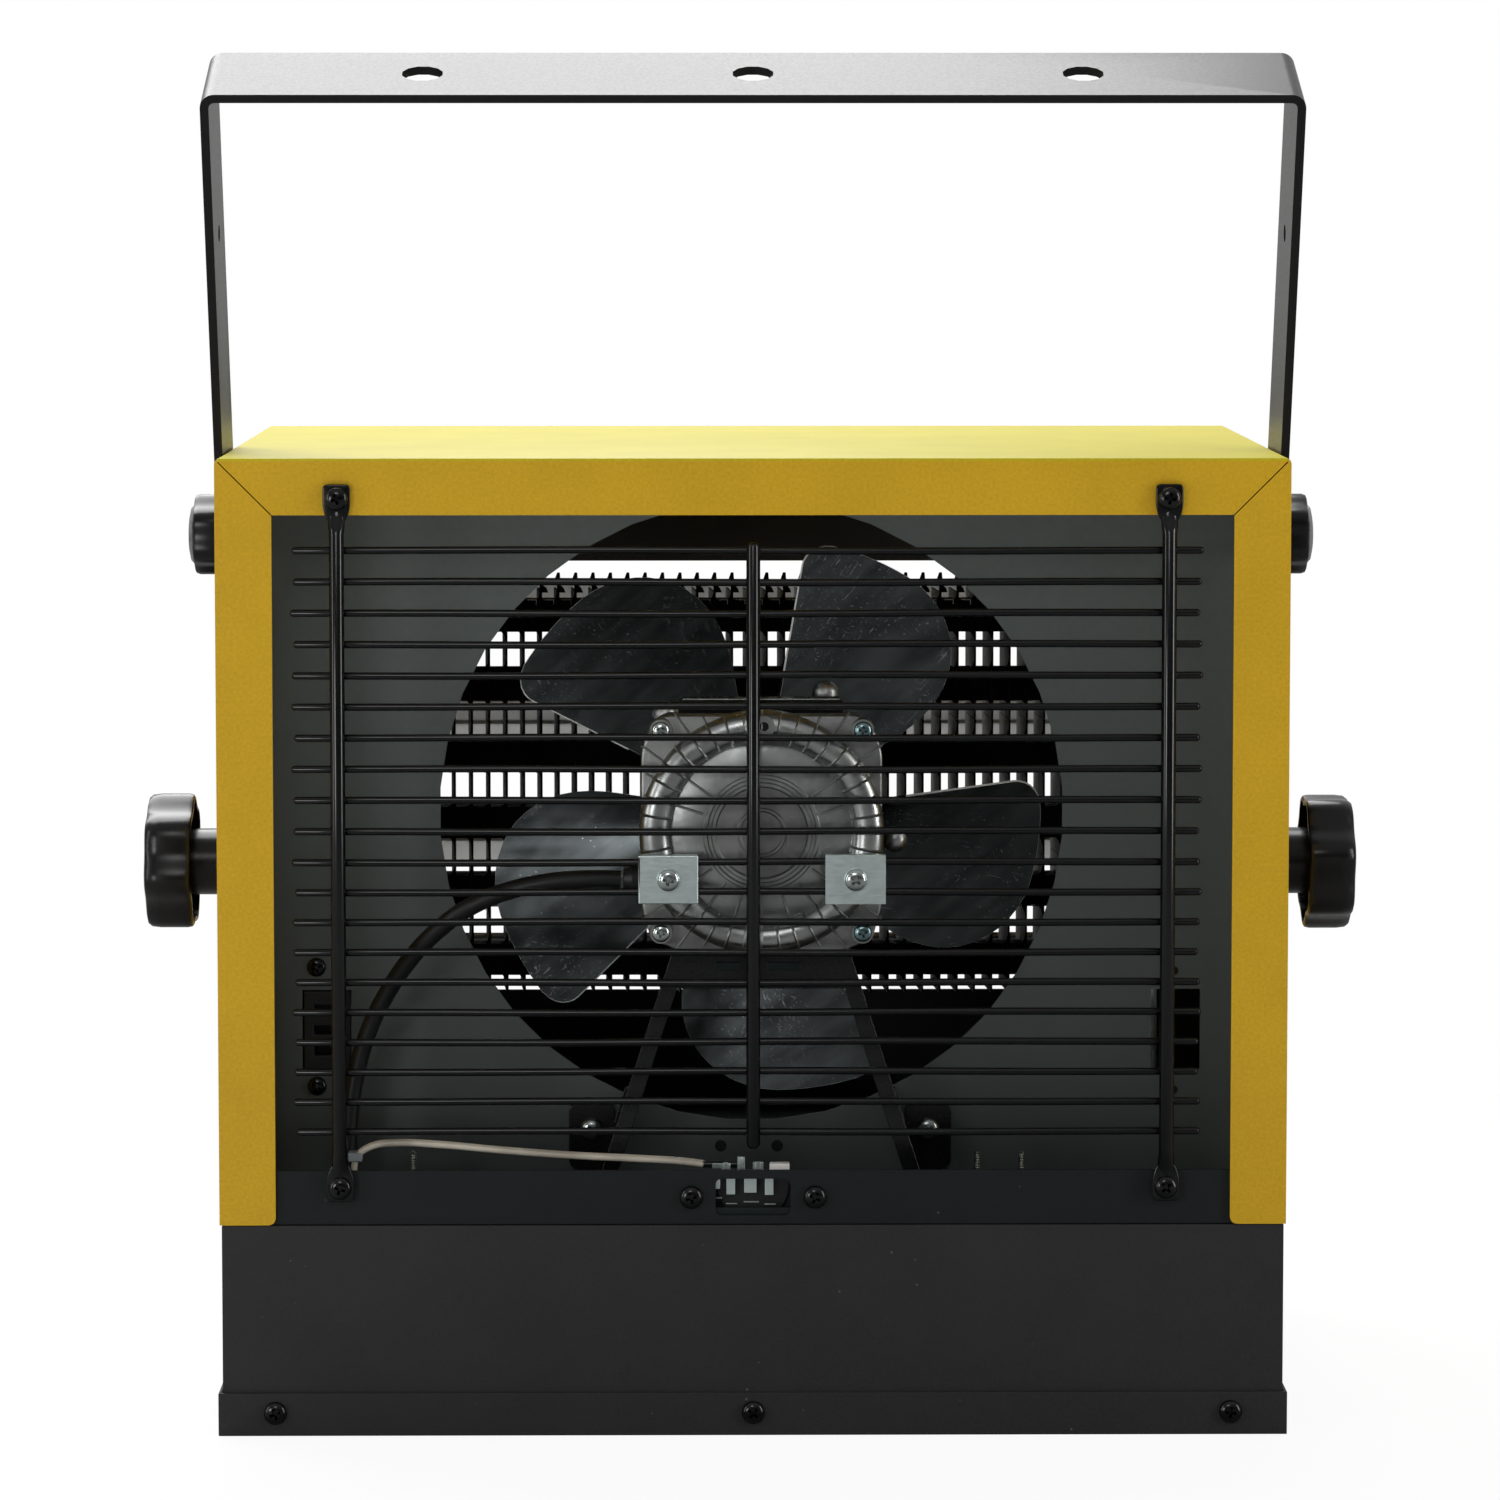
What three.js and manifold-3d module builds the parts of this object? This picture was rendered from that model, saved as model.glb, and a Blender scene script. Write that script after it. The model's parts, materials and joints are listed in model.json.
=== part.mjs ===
import * as THREE from 'three';
import { mergeVertices } from 'three/addons/utils/BufferGeometryUtils.js';
import Module from 'manifold-3d';

// Fan-forced garage heater on a tilting yoke, in millimetres.
// The intake side faces -Y, the outlet faces +Y and the base tray rests on Z = 0.

// Clearances and cuts
const seatGap = 0.3;
const boreGap = 0.4;
const slotGap = 0.9;
const overrun = 2;

// Casing
const casingWidth = 370;
const casingDepth = 240;
const bodyHeight = 340;
const casingSheet = 1.2;
const casingBend = 2;
const flangeWidth = 19.5;
const flangeCorner = 2.5;
const mitreGap = 0.4;

// Control box, tray and deck
const boxHeight = 73.6;
const boxInset = 0.7;
const boxSheet = 1.2;
const boxRim = 12;
const trayHeight = 15;
const traySheet = 1.2;
const deckSheet = 1.2;
const ledgeHeight = 18.8;
const deckLip = 12;
const windowWidth = 26;
const windowHeight = 12.8;
const windowCorner = 2;
const ledgeScrewSpan = 43;
const trayScrewInset = 19;

// Fan panel
const panelSetback = 62;
const panelSheet = 1;
const panelLip = 12;
const openingMargin = 22.05;
const openingRise = 3.85;
const cutoutWidth = 17.5;
const cutoutHeight = 29;
const cutoutInset = 33.5;
const cutoutRise = 58.6;
const lockReliefWidth = 10;
const lockReliefBelow = 25;
const lockReliefAbove = 12.5;

// Guard
const rodRadius = 2.6;
const wireRadius = 1.3;
const weldSink = 0.5;
const rodInset = 42;
const centreRodRadius = 2.4;
const centreRodBelow = 5.5;
const centreRodAbove = 3.2;
const wireCount = 20;
const wireOverhang = 14.5;
const wireShift = -1.5;
const topWireDrop = 31.7;
const bottomWireRise = 32.6;
const upperWiresShare = 0.5348;
const eyeletSheet = 1.8;
const eyeletRadius = 4.7;
const eyeletNeck = 11;
const topEyeletDrop = 13.7;
const bottomEyeletRise = 13.4;

// Screws
const screwHeadRadius = 4;
const screwHeadHeight = 2.6;
const screwShankRadius = 2;
const screwLength = 9;
const screwCrownShare = 0.6;
const screwRimShare = 0.35;

// Motor
const fanShift = 3;
const fanDrop = 0.8;
const motorHalfWidth = 41.8;
const motorTop = 40;
const motorBottom = 41.6;
const motorTopHalf = 36;
const motorTopDrop = 11;
const motorCheekDrop = 26;
const motorJawHalf = 38.3;
const motorJawDrop = 37.5;
const motorFootHalf = 28.4;
const bellFlange = 9;
const bellDepth = 20;
const ringRadius = 37;
const ringTube = 5.4;
const bellWebRadius = 29;
const bellWebSink = 3.6;
const bellHubRadius = 17.3;
const bellHubSink = 6;
const bellCapRadius = 8;
const bellCapRise = 1.2;
const bellRibCount = 8;
const bellRibWidth = 1.6;
const bellRibHeight = 1.4;
const statorHalf = 39;
const statorCorner = 8;
const statorDepth = 15;
const frontBellDepth = 11;
const frontBellRim = 37;
const frontBellRadius = 38;
const noseRadius = 14;
const noseDepth = 3.5;
const shaftRadius = 4;
const shaftReach = 5;

// Clips that tie the motor to the guard
const clipWidth = 20.8;
const clipPlay = 0.8;
const clipSheet = 1.2;
const clipLip = 3.5;
const clipDrop = 0.5;
const clipSpan = 64.6;
const clipWire = 10;

// Motor stand
const standSheet = 1.5;
const saddleHalf = 30;
const saddleApron = 18.7;
const standWidth = 6;
const legDepth = 16;
const footReach = 60;
const footWidth = 16.5;
const footHeight = 25;
const footLow = 7;
const footCorner = 4;
const gussetTop = 30;
const standScrewRise = 21.9;

// Fan
const fanTipGap = 11.5;
const bladeSheet = 1.2;
const bladeRootRadius = 14;
const bladeAxialReach = 13;
const bladeCorner = 9;
const bladeCount = 5;
const hubRadius = 19;
const hubLength = 17;
const hubBoreSeat = 2.5;
const bladeLeadAngle = 8.5;
const bladeSpanAngle = 52;
const bladeCornerShare = 0.12;
const bladeShoulderShare = 0.42;
const bladeTrailShare = 0.52;
const bladeCamberShare = 0.22;
const bladeTaperShare = 0.75;

// Heating elements
const elementSetback = 88;
const elementCount = 3;
const elementRise = 0.2;
const tubeRadius = 5.8;
const tubeSides = 6;
const tubePitchShare = 0.2297;
const finCount = 11;
const finSheet = 0.8;
const finDepth = 26;
const finTip = 15.6;
const tubeReach = 8;
const endPlateInset = 35;
const endPlateSheet = 1.2;
const endPlateDepth = 36;
const endPlateDrop = 36;
const endPlateLip = 10;

// Outlet
const frontPanelSheet = 1.2;
const outletInset = 35;
const outletHeadroom = 52;
const outletSill = 47.1;
const earDepth = 22;
const louverCount = 4;
const louverEdge = 15.7;
const louverDepth = 30;
const louverSheet = 1.6;
const louverSetback = 12;
const louverRib = 1.2;
const louverPinRadius = 2;
const louverTiltAngle = 38;

// Yoke
const yokeWidth = 42;
const yokeSheet = 3;
const yokeBend = 5;
const yokeReach = 306;
const yokeLeanAngle = 21;
const pivotRise = 112.1;
const barHoleRadius = 7.2;
const barHoleSpan = 113.4;
const spareHoleReach = 247;
const spareHoleRadius = 3.2;
const lockDrop = 22;
const lockSwingAngle = 30;

// Knobs and studs of the yoke
const pivotStudRadius = 4;
const pivotStudInside = 9;
const pivotKnobRadius = 25;
const pivotKnobThick = 17;
const pivotKnobWall = 3;
const pivotKnobCrown = 4;
const pivotKnobLobe = 1.8;
const pivotKnobLobes = 7;
const pivotHubRadius = 12.1;
const pivotHubLength = 14.5;
const lockStudRadius = 2.5;
const lockStudInside = 4.5;
const lockKnobRadius = 14.3;
const lockKnobThick = 9.4;
const lockKnobLobe = 1.6;
const lockKnobLobes = 6;
const lockCapRadius = 10.5;
const lockCapRise = 2.2;
const lockCapCrownShare = 0.7;
const lockCapEdgeShare = 0.25;
const studBury = 7;

// Motor cable, its gland and the deck grommet
const cableRadius = 3.2;
const cableSides = 8;
const cableSteps = 14;
const glandRadius = 5.2;
const glandLength = 6;
const glandDrop = 18;
const glandSetback = 19;
const grommetInset = 42;
const grommetSetback = 44;
const grommetRadius = 6.5;
const grommetLip = 1.5;
const grommetGroove = 1.4;

// Limit switch and its leads
const limitSetback = 4;
const limitPlateSheet = 1;
const limitPlateWidth = 52;
const limitPlateHeight = 16;
const limitSlotCount = 4;
const limitSlotWidth = 2.6;
const limitSlotHeight = 8;
const limitBodyWidth = 30;
const limitBodyDepth = 10;
const limitBodyHeight = 13;
const limitTabWidth = 5;
const limitTabSheet = 0.8;
const limitTabRise = 6;
const limitTabSpan = 14;
const leadRadius = 1.1;
const leadSides = 6;
const leadSteps = 12;
const leadShift = 2.6;

// Socket in the fan panel
const socketWidth = 16.5;
const socketHeight = 28;
const socketDepth = 12;
const socketPlateHeight = 52;
const socketPlateSheet = 1.5;
const socketSlotWidth = 9;
const socketSlotHeight = 3;
const socketSlotPitch = 7.5;

// Controls at the front of the control box
const controlSpan = 150;
const controlLevel = 40;
const controlKnobRadius = 19;
const controlKnobThick = 16;
const controlKnobGrip = 4;
const knobSkirtShare = 0.25;
const knobNeckShare = 0.33;
const knobTopShare = 0.6;
const knobNeckRadiusShare = 0.86;
const knobTopRadiusShare = 0.8;
const knobGripShare = 0.78;
const controlSpindleRadius = 3;
const thermostatSize = 34;
const thermostatDepth = 18;
const selectorSize = 30;
const selectorDepth = 24;
const terminalWidth = 64;
const terminalDepth = 24;
const terminalHeight = 20;
const terminalWays = 4;
const terminalBarrier = 2;
const supplyInset = 65;
const supplySetback = 50;
const supplyRadius = 11;

// Places that follow from the sizes above
const rearY = -casingDepth / 2;
const frontY = casingDepth / 2;
const innerHalf = casingWidth / 2 - casingSheet - seatGap;
const casingLow = boxHeight + seatGap;
const deckTop = casingLow + deckSheet;
const ledgeFrontY = rearY + casingSheet + seatGap;
const panelY = rearY + panelSetback;
const rodY = rearY - seatGap - rodRadius;
const wireY = rodY + rodRadius + wireRadius - weldSink;
const motorRearY = wireY + wireRadius + seatGap;
const statorRearY = motorRearY + bellDepth + seatGap;
const frontBellY = statorRearY + statorDepth + seatGap;
const fanY = panelY;
const boxHalfWidth = casingWidth / 2 - boxInset;
const boxHalfDepth = casingDepth / 2 - boxInset;
const armInner = casingWidth / 2 + seatGap;
const armOuter = armInner + yokeSheet;
const frontPanelY = frontY - casingSheet - seatGap - frontPanelSheet;
const louverY = frontPanelY - louverSetback;
const elementY = panelY + elementSetback;
const grommetX = grommetInset - casingWidth / 2;
const grommetY = rearY + grommetSetback;
const supplyX = casingWidth / 2 - supplyInset;
const supplyY = rearY + supplySetback;

const casingHeight = bodyHeight - casingLow;
const openingRadius = casingHeight / 2 - openingMargin;
const openingHeight = casingLow + casingHeight / 2 + openingRise;
const fanRadius = openingRadius - fanTipGap;
const fanLevel = openingHeight - fanDrop;
const cutoutSpan = casingWidth - 2 * cutoutInset;
const cutoutLevel = casingLow + cutoutRise;
const trayScrewSpan = casingWidth - 2 * trayScrewInset;
const standScrewLevel = deckTop + standScrewRise;

const rodSpan = casingWidth - 2 * rodInset;
const wireLength = rodSpan + 2 * wireOverhang;
const topWireLevel = bodyHeight - topWireDrop;
const bottomWireLevel = casingLow + bottomWireRise;
const upperWiresHeight = (topWireLevel - bottomWireLevel) * upperWiresShare;
const upperWirePitch = upperWiresHeight / clipWire;
const lowerWirePitch = (topWireLevel - upperWiresHeight - bottomWireLevel) / (wireCount - 1 - clipWire);
const topEyeletLevel = bodyHeight - topEyeletDrop;
const bottomEyeletLevel = casingLow + bottomEyeletRise;
const clipHeight = lowerWirePitch + 2 * (wireRadius + clipSheet + clipPlay);

const endPlateSpan = casingWidth - 2 * endPlateInset;
const endPlateTop = bodyHeight - endPlateDrop;
const elementLevel = openingHeight + elementRise;
const tubePitch = openingRadius * tubePitchShare;
const finPitch = endPlateSpan / (finCount + 1 / 2);
const outletWidth = casingWidth - 2 * outletInset;
const outletHeight = casingHeight - outletHeadroom - outletSill;
const outletLevel = casingLow + outletSill + outletHeight / 2;
const louverPitch = (outletHeight - 2 * louverEdge) / (louverCount - 1);
const pivotLevel = casingLow + pivotRise;
const lockReach = bodyHeight - lockDrop - pivotLevel;

const wasm = await Module();
wasm.setup();

// Solids: building, cutting and placing

function toSolid(geometry) {
  const bare = geometry.clone();
  bare.deleteAttribute('normal');
  bare.deleteAttribute('uv');
  const merged = mergeVertices(bare);
  const corners = [];
  for (let i = 0; i < merged.index.count; i += 3) {
    const [a, b, c] = [0, 1, 2].map((k) => merged.index.getX(i + k));
    if (a !== b && b !== c && c !== a) {
      corners.push(a, b, c);
    }
  }
  const vertProperties = new Float32Array(merged.attributes.position.array);
  const triVerts = new Uint32Array(corners);
  if (signedVolume(vertProperties, triVerts) < 0) {
    triVerts.reverse();
  }
  return new wasm.Manifold(new wasm.Mesh({ numProp: 3, vertProperties, triVerts }));
}

function signedVolume(points, corners) {
  let sum = 0;
  const [a, b, c] = [new THREE.Vector3(), new THREE.Vector3(), new THREE.Vector3()];
  for (let i = 0; i < corners.length; i += 3) {
    a.fromArray(points, corners[i] * 3);
    b.fromArray(points, corners[i + 1] * 3);
    c.fromArray(points, corners[i + 2] * 3);
    sum += a.dot(b.cross(c));
  }
  return sum;
}

function toGeometry(solid) {
  const mesh = solid.getMesh();
  const geometry = new THREE.BufferGeometry();
  const points = new THREE.BufferAttribute(new Float32Array(mesh.vertProperties), 3);
  geometry.setAttribute('position', points);
  geometry.setIndex(new THREE.BufferAttribute(new Uint32Array(mesh.triVerts), 1));
  geometry.computeVertexNormals();
  return geometry;
}

function join(...solids) {
  return solids.reduce((sum, solid) => sum.add(solid));
}

function cut(solid, ...tools) {
  return tools.reduce((rest, tool) => rest.subtract(tool), solid);
}

function block(x0, x1, y0, y1, z0, z1) {
  const geometry = new THREE.BoxGeometry(x1 - x0, y1 - y0, z1 - z0);
  geometry.translate((x0 + x1) / 2, (y0 + y1) / 2, (z0 + z1) / 2);
  return toSolid(geometry);
}

const axisTurns = {
  x: (geometry) => geometry.rotateZ(-Math.PI / 2),
  y: (geometry) => geometry,
  z: (geometry) => geometry.rotateX(Math.PI / 2),
};

// A round bar along an axis, from its centre's two other places
function bar(axis, place, radius, from, to, sides) {
  const geometry = new THREE.CylinderGeometry(radius, radius, to - from, sides);
  geometry.rotateY(Math.PI / sides);
  axisTurns[axis](geometry);
  const middle = (from + to) / 2;
  const centres = {
    x: [middle, place[0], place[1]],
    y: [place[0], middle, place[1]],
    z: [place[0], place[1], middle],
  };
  geometry.translate(...centres[axis]);
  return toSolid(geometry);
}

// A turned piece about an axis: profile points are [radius, place along the axis]
function turned(axis, profile, sides) {
  const points = profile.map(([radius, along]) => new THREE.Vector2(radius, along));
  const geometry = new THREE.LatheGeometry(points, sides);
  return toSolid(axisTurns[axis](geometry));
}

// A flat outline in X and Z, thickened from y0 to y1
function plateAlongY(shape, y0, y1, arcSteps = 6) {
  const settings = { depth: y1 - y0, bevelEnabled: false, curveSegments: arcSteps };
  const geometry = new THREE.ExtrudeGeometry(shape, settings);
  geometry.rotateX(Math.PI / 2);
  geometry.translate(0, y1, 0);
  return toSolid(geometry);
}

// A flat outline in Y and Z, thickened from x0 to x1
function plateAlongX(shape, x0, x1, arcSteps = 6) {
  const settings = { depth: x1 - x0, bevelEnabled: false, curveSegments: arcSteps };
  const geometry = new THREE.ExtrudeGeometry(shape, settings);
  const turn = new THREE.Matrix4().makeBasis(
    new THREE.Vector3(0, 1, 0),
    new THREE.Vector3(0, 0, 1),
    new THREE.Vector3(1, 0, 0),
  );
  geometry.applyMatrix4(turn);
  geometry.translate(x0, 0, 0);
  return toSolid(geometry);
}

function outline(points) {
  const shape = new THREE.Shape();
  points.forEach(([x, y], i) => (i ? shape.lineTo(x, y) : shape.moveTo(x, y)));
  shape.closePath();
  return shape;
}

function roundedRectangle(x0, x1, y0, y1, radius) {
  const shape = new THREE.Shape();
  shape.moveTo(x0 + radius, y0);
  shape.lineTo(x1 - radius, y0);
  shape.absarc(x1 - radius, y0 + radius, radius, -Math.PI / 2, 0);
  shape.lineTo(x1, y1 - radius);
  shape.absarc(x1 - radius, y1 - radius, radius, 0, Math.PI / 2);
  shape.lineTo(x0 + radius, y1);
  shape.absarc(x0 + radius, y1 - radius, radius, Math.PI / 2, Math.PI);
  shape.lineTo(x0, y0 + radius);
  shape.absarc(x0 + radius, y0 + radius, radius, Math.PI, (3 * Math.PI) / 2);
  return shape;
}

// A lobed outline round the origin
function lobedOutline(radius, lobe, lobes, steps) {
  const points = [];
  for (let i = 0; i < steps; i += 1) {
    const angle = (2 * Math.PI * i) / steps;
    const reach = radius - (lobe * (1 - Math.cos(lobes * angle))) / 2;
    points.push([reach * Math.cos(angle), reach * Math.sin(angle)]);
  }
  return outline(points);
}

// A cord of a given radius along hand-set points
function cord(points, radius, sides, steps) {
  const places = points.map((point) => new THREE.Vector3(...point));
  const path = new THREE.CatmullRomCurve3(places, false, 'centripetal');
  const section = [];
  for (let i = 0; i < sides; i += 1) {
    const angle = (2 * Math.PI * i) / sides;
    section.push([radius * Math.cos(angle), radius * Math.sin(angle)]);
  }
  const settings = { steps, extrudePath: path, bevelEnabled: false };
  return toSolid(new THREE.ExtrudeGeometry(outline(section), settings));
}

// Finishes
const finishes = {
  yellow: { color: 0xc79a1e, roughness: 0.5, metalness: 0.1 },
  boxBlack: { color: 0x262727, roughness: 0.7, metalness: 0.1 },
  panelGrey: { color: 0x3a403f, roughness: 0.55, metalness: 0.4 },
  guardBlack: { color: 0x121314, roughness: 0.3, metalness: 0.2 },
  yokeBlack: { color: 0x1b1b1c, roughness: 0.4, metalness: 0.3 },
  castAluminium: { color: 0x9b9a95, roughness: 0.45, metalness: 0.9 },
  fanAluminium: { color: 0x8a8f90, roughness: 0.35, metalness: 0.9 },
  zinc: { color: 0xa9b2b0, roughness: 0.35, metalness: 0.9 },
  steel: { color: 0x8f9090, roughness: 0.4, metalness: 0.9 },
  finBlack: { color: 0x1c1a18, roughness: 0.6, metalness: 0.5 },
  plastic: { color: 0x17181a, roughness: 0.5, metalness: 0 },
  rubber: { color: 0x101112, roughness: 0.7, metalness: 0 },
  lead: { color: 0xd8d2c4, roughness: 0.6, metalness: 0 },
};

function addPiece(parent, name, solid, finish, place = [0, 0, 0]) {
  const material = new THREE.MeshStandardMaterial(finishes[finish]);
  const mesh = new THREE.Mesh(toGeometry(solid), material);
  mesh.name = name;
  mesh.position.set(...place);
  parent.add(mesh);
  return mesh;
}

// Outer casing

// The wrap's outline from the rear: two sides and a top, set in from the outside
function wrapOutline(inset) {
  const half = casingWidth / 2 - inset;
  const top = bodyHeight - inset;
  const bend = Math.max(casingBend - inset, casingSheet / 2);
  const shape = new THREE.Shape();
  shape.moveTo(half, casingLow - (inset ? overrun : 0));
  shape.lineTo(half, top - bend);
  shape.absarc(half - bend, top - bend, bend, 0, Math.PI / 2);
  shape.lineTo(-half + bend, top);
  shape.absarc(-half + bend, top - bend, bend, Math.PI / 2, Math.PI);
  shape.lineTo(-half, casingLow - (inset ? overrun : 0));
  return shape;
}

// The opening inside the rear flange, with rounded lower ends of the side flanges
function flangeOpening() {
  const half = casingWidth / 2 - flangeWidth;
  const low = casingLow;
  const shape = new THREE.Shape();
  shape.moveTo(-half - flangeCorner, low - overrun);
  shape.lineTo(half + flangeCorner, low - overrun);
  shape.lineTo(half + flangeCorner, low);
  shape.absarc(half + flangeCorner, low + flangeCorner, flangeCorner, -Math.PI / 2, -Math.PI, true);
  shape.lineTo(half, bodyHeight - flangeWidth);
  shape.lineTo(-half, bodyHeight - flangeWidth);
  shape.lineTo(-half, low + flangeCorner);
  shape.absarc(-half - flangeCorner, low + flangeCorner, flangeCorner, 0, -Math.PI / 2, true);
  return shape;
}

// A thin slit across one upper corner of the rear flange
function mitreSlit(side) {
  const slit = new THREE.BoxGeometry(flangeWidth * Math.SQRT2, casingSheet + overrun, mitreGap);
  slit.rotateY((side * -Math.PI) / 4);
  const inset = casingSheet + flangeWidth / 2;
  const middle = rearY + (casingSheet - overrun) / 2;
  slit.translate(side * (casingWidth / 2 - inset), middle, bodyHeight - inset);
  return toSolid(slit);
}

// The curved slot in a casing side that the lock stud slides in
function lockSlot(side) {
  const half = lockStudRadius + slotGap;
  const swing = (lockSwingAngle * Math.PI) / 180;
  const shape = new THREE.Shape();
  const [from, to] = [Math.PI / 2 - swing, Math.PI / 2 + swing];
  const end = (angle, start) => {
    const [y, z] = [lockReach * Math.cos(angle), lockReach * Math.sin(angle)];
    shape.absarc(y, z, half, start, start + Math.PI, false);
  };
  shape.absarc(0, 0, lockReach + half, from, to, false);
  end(to, to);
  shape.absarc(0, 0, lockReach - half, to, from, true);
  end(from, from + Math.PI);
  const middle = side * (casingWidth / 2 - casingSheet / 2);
  return plateAlongX(shape, middle - overrun, middle + overrun, 6).translate([0, 0, pivotLevel]);
}

function screwHoleY(x, z, y0, y1, radius = screwShankRadius + boreGap) {
  return bar('y', [x, z], radius, y0 - overrun, y1 + overrun, 8);
}

function outerCasing() {
  const wrap = plateAlongY(wrapOutline(0), rearY, frontY, 3);
  const hollow = plateAlongY(wrapOutline(casingSheet), rearY + casingSheet, frontY - casingSheet, 2);
  const ends = plateAlongY(flangeOpening(), rearY - overrun, frontY + overrun, 2);
  const slits = [-1, 1].map(mitreSlit);
  const holes = [];
  for (const side of [-1, 1]) {
    holes.push(lockSlot(side));
    const wall = side * (casingWidth / 2);
    const radius = pivotStudRadius + boreGap;
    holes.push(bar('x', [0, pivotLevel], radius, wall - overrun, wall + overrun, 12));
    holes.push(screwHoleY((side * rodSpan) / 2, topEyeletLevel, rearY, rearY + casingSheet));
  }
  return cut(wrap, hollow, ends, ...slits, ...holes);
}

// Control box, tray and deck

function trayScrewPlaces() {
  return [-1, 0, 1].map((step) => (step * trayScrewSpan) / 2);
}

function controlBox() {
  const low = traySheet + seatGap;
  const shell = block(-boxHalfWidth, boxHalfWidth, -boxHalfDepth, boxHalfDepth, low, boxHeight);
  const [halfX, halfY] = [boxHalfWidth - boxSheet, boxHalfDepth - boxSheet];
  const hollow = block(-halfX, halfX, -halfY, halfY, low - overrun, boxHeight - boxSheet);
  const [rimX, rimY] = [halfX - boxRim, halfY - boxRim];
  const top = block(-rimX, rimX, -rimY, rimY, low, boxHeight + overrun);
  const level = trayScrewLevel();
  const holes = trayScrewPlaces().map((x) => screwHoleY(x, level, -boxHalfDepth, -halfY));
  for (const side of [-1, 1]) {
    const x = (side * controlSpan) / 2;
    const radius = controlSpindleRadius + boreGap;
    holes.push(screwHoleY(x, controlLevel, halfY, boxHalfDepth, radius));
  }
  return cut(shell, hollow, top, ...holes);
}

function trayScrewLevel() {
  return (trayHeight + traySheet) / 2;
}

function baseTray() {
  const wall = seatGap + traySheet;
  const [halfX, halfY] = [boxHalfWidth + wall, boxHalfDepth + wall];
  const shell = block(-halfX, halfX, -halfY, halfY, 0, trayHeight);
  const [inX, inY] = [halfX - traySheet, halfY - traySheet];
  const hollow = block(-inX, inX, -inY, inY, traySheet, trayHeight + overrun);
  const level = trayScrewLevel();
  const holes = trayScrewPlaces().map((x) => screwHoleY(x, level, -halfY, -inY));
  const supplyHole = supplyRadius + seatGap;
  const supply = bar('z', [supplyX, supplyY], supplyHole, -overrun, traySheet + overrun, 16);
  return cut(shell, hollow, supply, ...holes);
}

function chassisDeck() {
  const [back, front] = [ledgeFrontY, frontPanelY - seatGap];
  const floor = block(-innerHalf, innerHalf, back, front, casingLow, deckTop);
  const [ledgeTop, lipTop] = [casingLow + ledgeHeight, casingLow + deckLip];
  const ledge = block(-innerHalf, innerHalf, back, back + deckSheet, casingLow, ledgeTop);
  const lip = block(-innerHalf, innerHalf, front - deckSheet, front, casingLow, lipTop);
  const level = windowLevel();
  const [halfW, halfH] = [windowWidth / 2, windowHeight / 2];
  const windowShape = roundedRectangle(-halfW, halfW, level - halfH, level + halfH, windowCorner);
  const window = plateAlongY(windowShape, back - overrun, back + deckSheet + overrun, 2);
  const holes = [];
  for (const side of [-1, 1]) {
    holes.push(screwHoleY((side * ledgeScrewSpan) / 2, level, back, back + deckSheet));
    holes.push(screwHoleY((side * rodSpan) / 2, bottomEyeletLevel, back, back + deckSheet));
  }
  const [hole, low] = [grommetRadius + seatGap, casingLow - overrun];
  const grommet = bar('z', [grommetX, grommetY], hole, low, deckTop + overrun, 12);
  return cut(join(floor, ledge, lip), window, grommet, ...holes);
}

function windowLevel() {
  return casingLow + ledgeHeight / 2;
}

// Fan panel

function fanPanel() {
  const [low, top] = [deckTop + seatGap, bodyHeight - casingSheet - seatGap];
  const sheet = block(-innerHalf, innerHalf, panelY, panelY + panelSheet, low, top);
  const lips = [
    block(-innerHalf, innerHalf, panelY, panelY + panelLip, top - panelSheet, top),
    block(-innerHalf, innerHalf, panelY, panelY + panelLip, low, low + panelSheet),
  ];
  const [y0, y1] = [panelY - overrun, panelY + panelSheet + overrun];
  const tools = [bar('y', [0, openingHeight], openingRadius, y0, y1, 40)];
  for (const side of [-1, 1]) {
    const edge = side * innerHalf;
    const inner = edge - side * panelSheet;
    const [x0, x1] = [Math.min(edge, inner), Math.max(edge, inner)];
    lips.push(block(x0, x1, panelY, panelY + panelLip, low, top));
    tools.push(cutout(side));
    tools.push(lockRelief(side));
    const footX = fanShift + side * footReach;
    tools.push(screwHoleY(footX, standScrewLevel, panelY, panelY + panelSheet));
  }
  return cut(join(sheet, ...lips), ...tools);
}

function cutout(side) {
  const x = (side * cutoutSpan) / 2;
  const [halfW, halfH] = [cutoutWidth / 2, cutoutHeight / 2];
  const [y0, y1] = [panelY - overrun, panelY + panelSheet + overrun];
  return block(x - halfW, x + halfW, y0, y1, cutoutLevel - halfH, cutoutLevel + halfH);
}

// The notch at the panel's upper edge that lets the lock stud pass
function lockRelief(side) {
  const edge = side * (innerHalf + overrun);
  const inner = side * (innerHalf - lockReliefWidth);
  const middle = pivotLevel + lockReach - lockStudRadius;
  const [low, high] = [middle - lockReliefBelow, middle + lockReliefAbove];
  const [y0, y1] = [panelY - overrun, panelY + panelLip + overrun];
  return block(Math.min(edge, inner), Math.max(edge, inner), y0, y1, low, high);
}

// Wire guard

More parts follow.
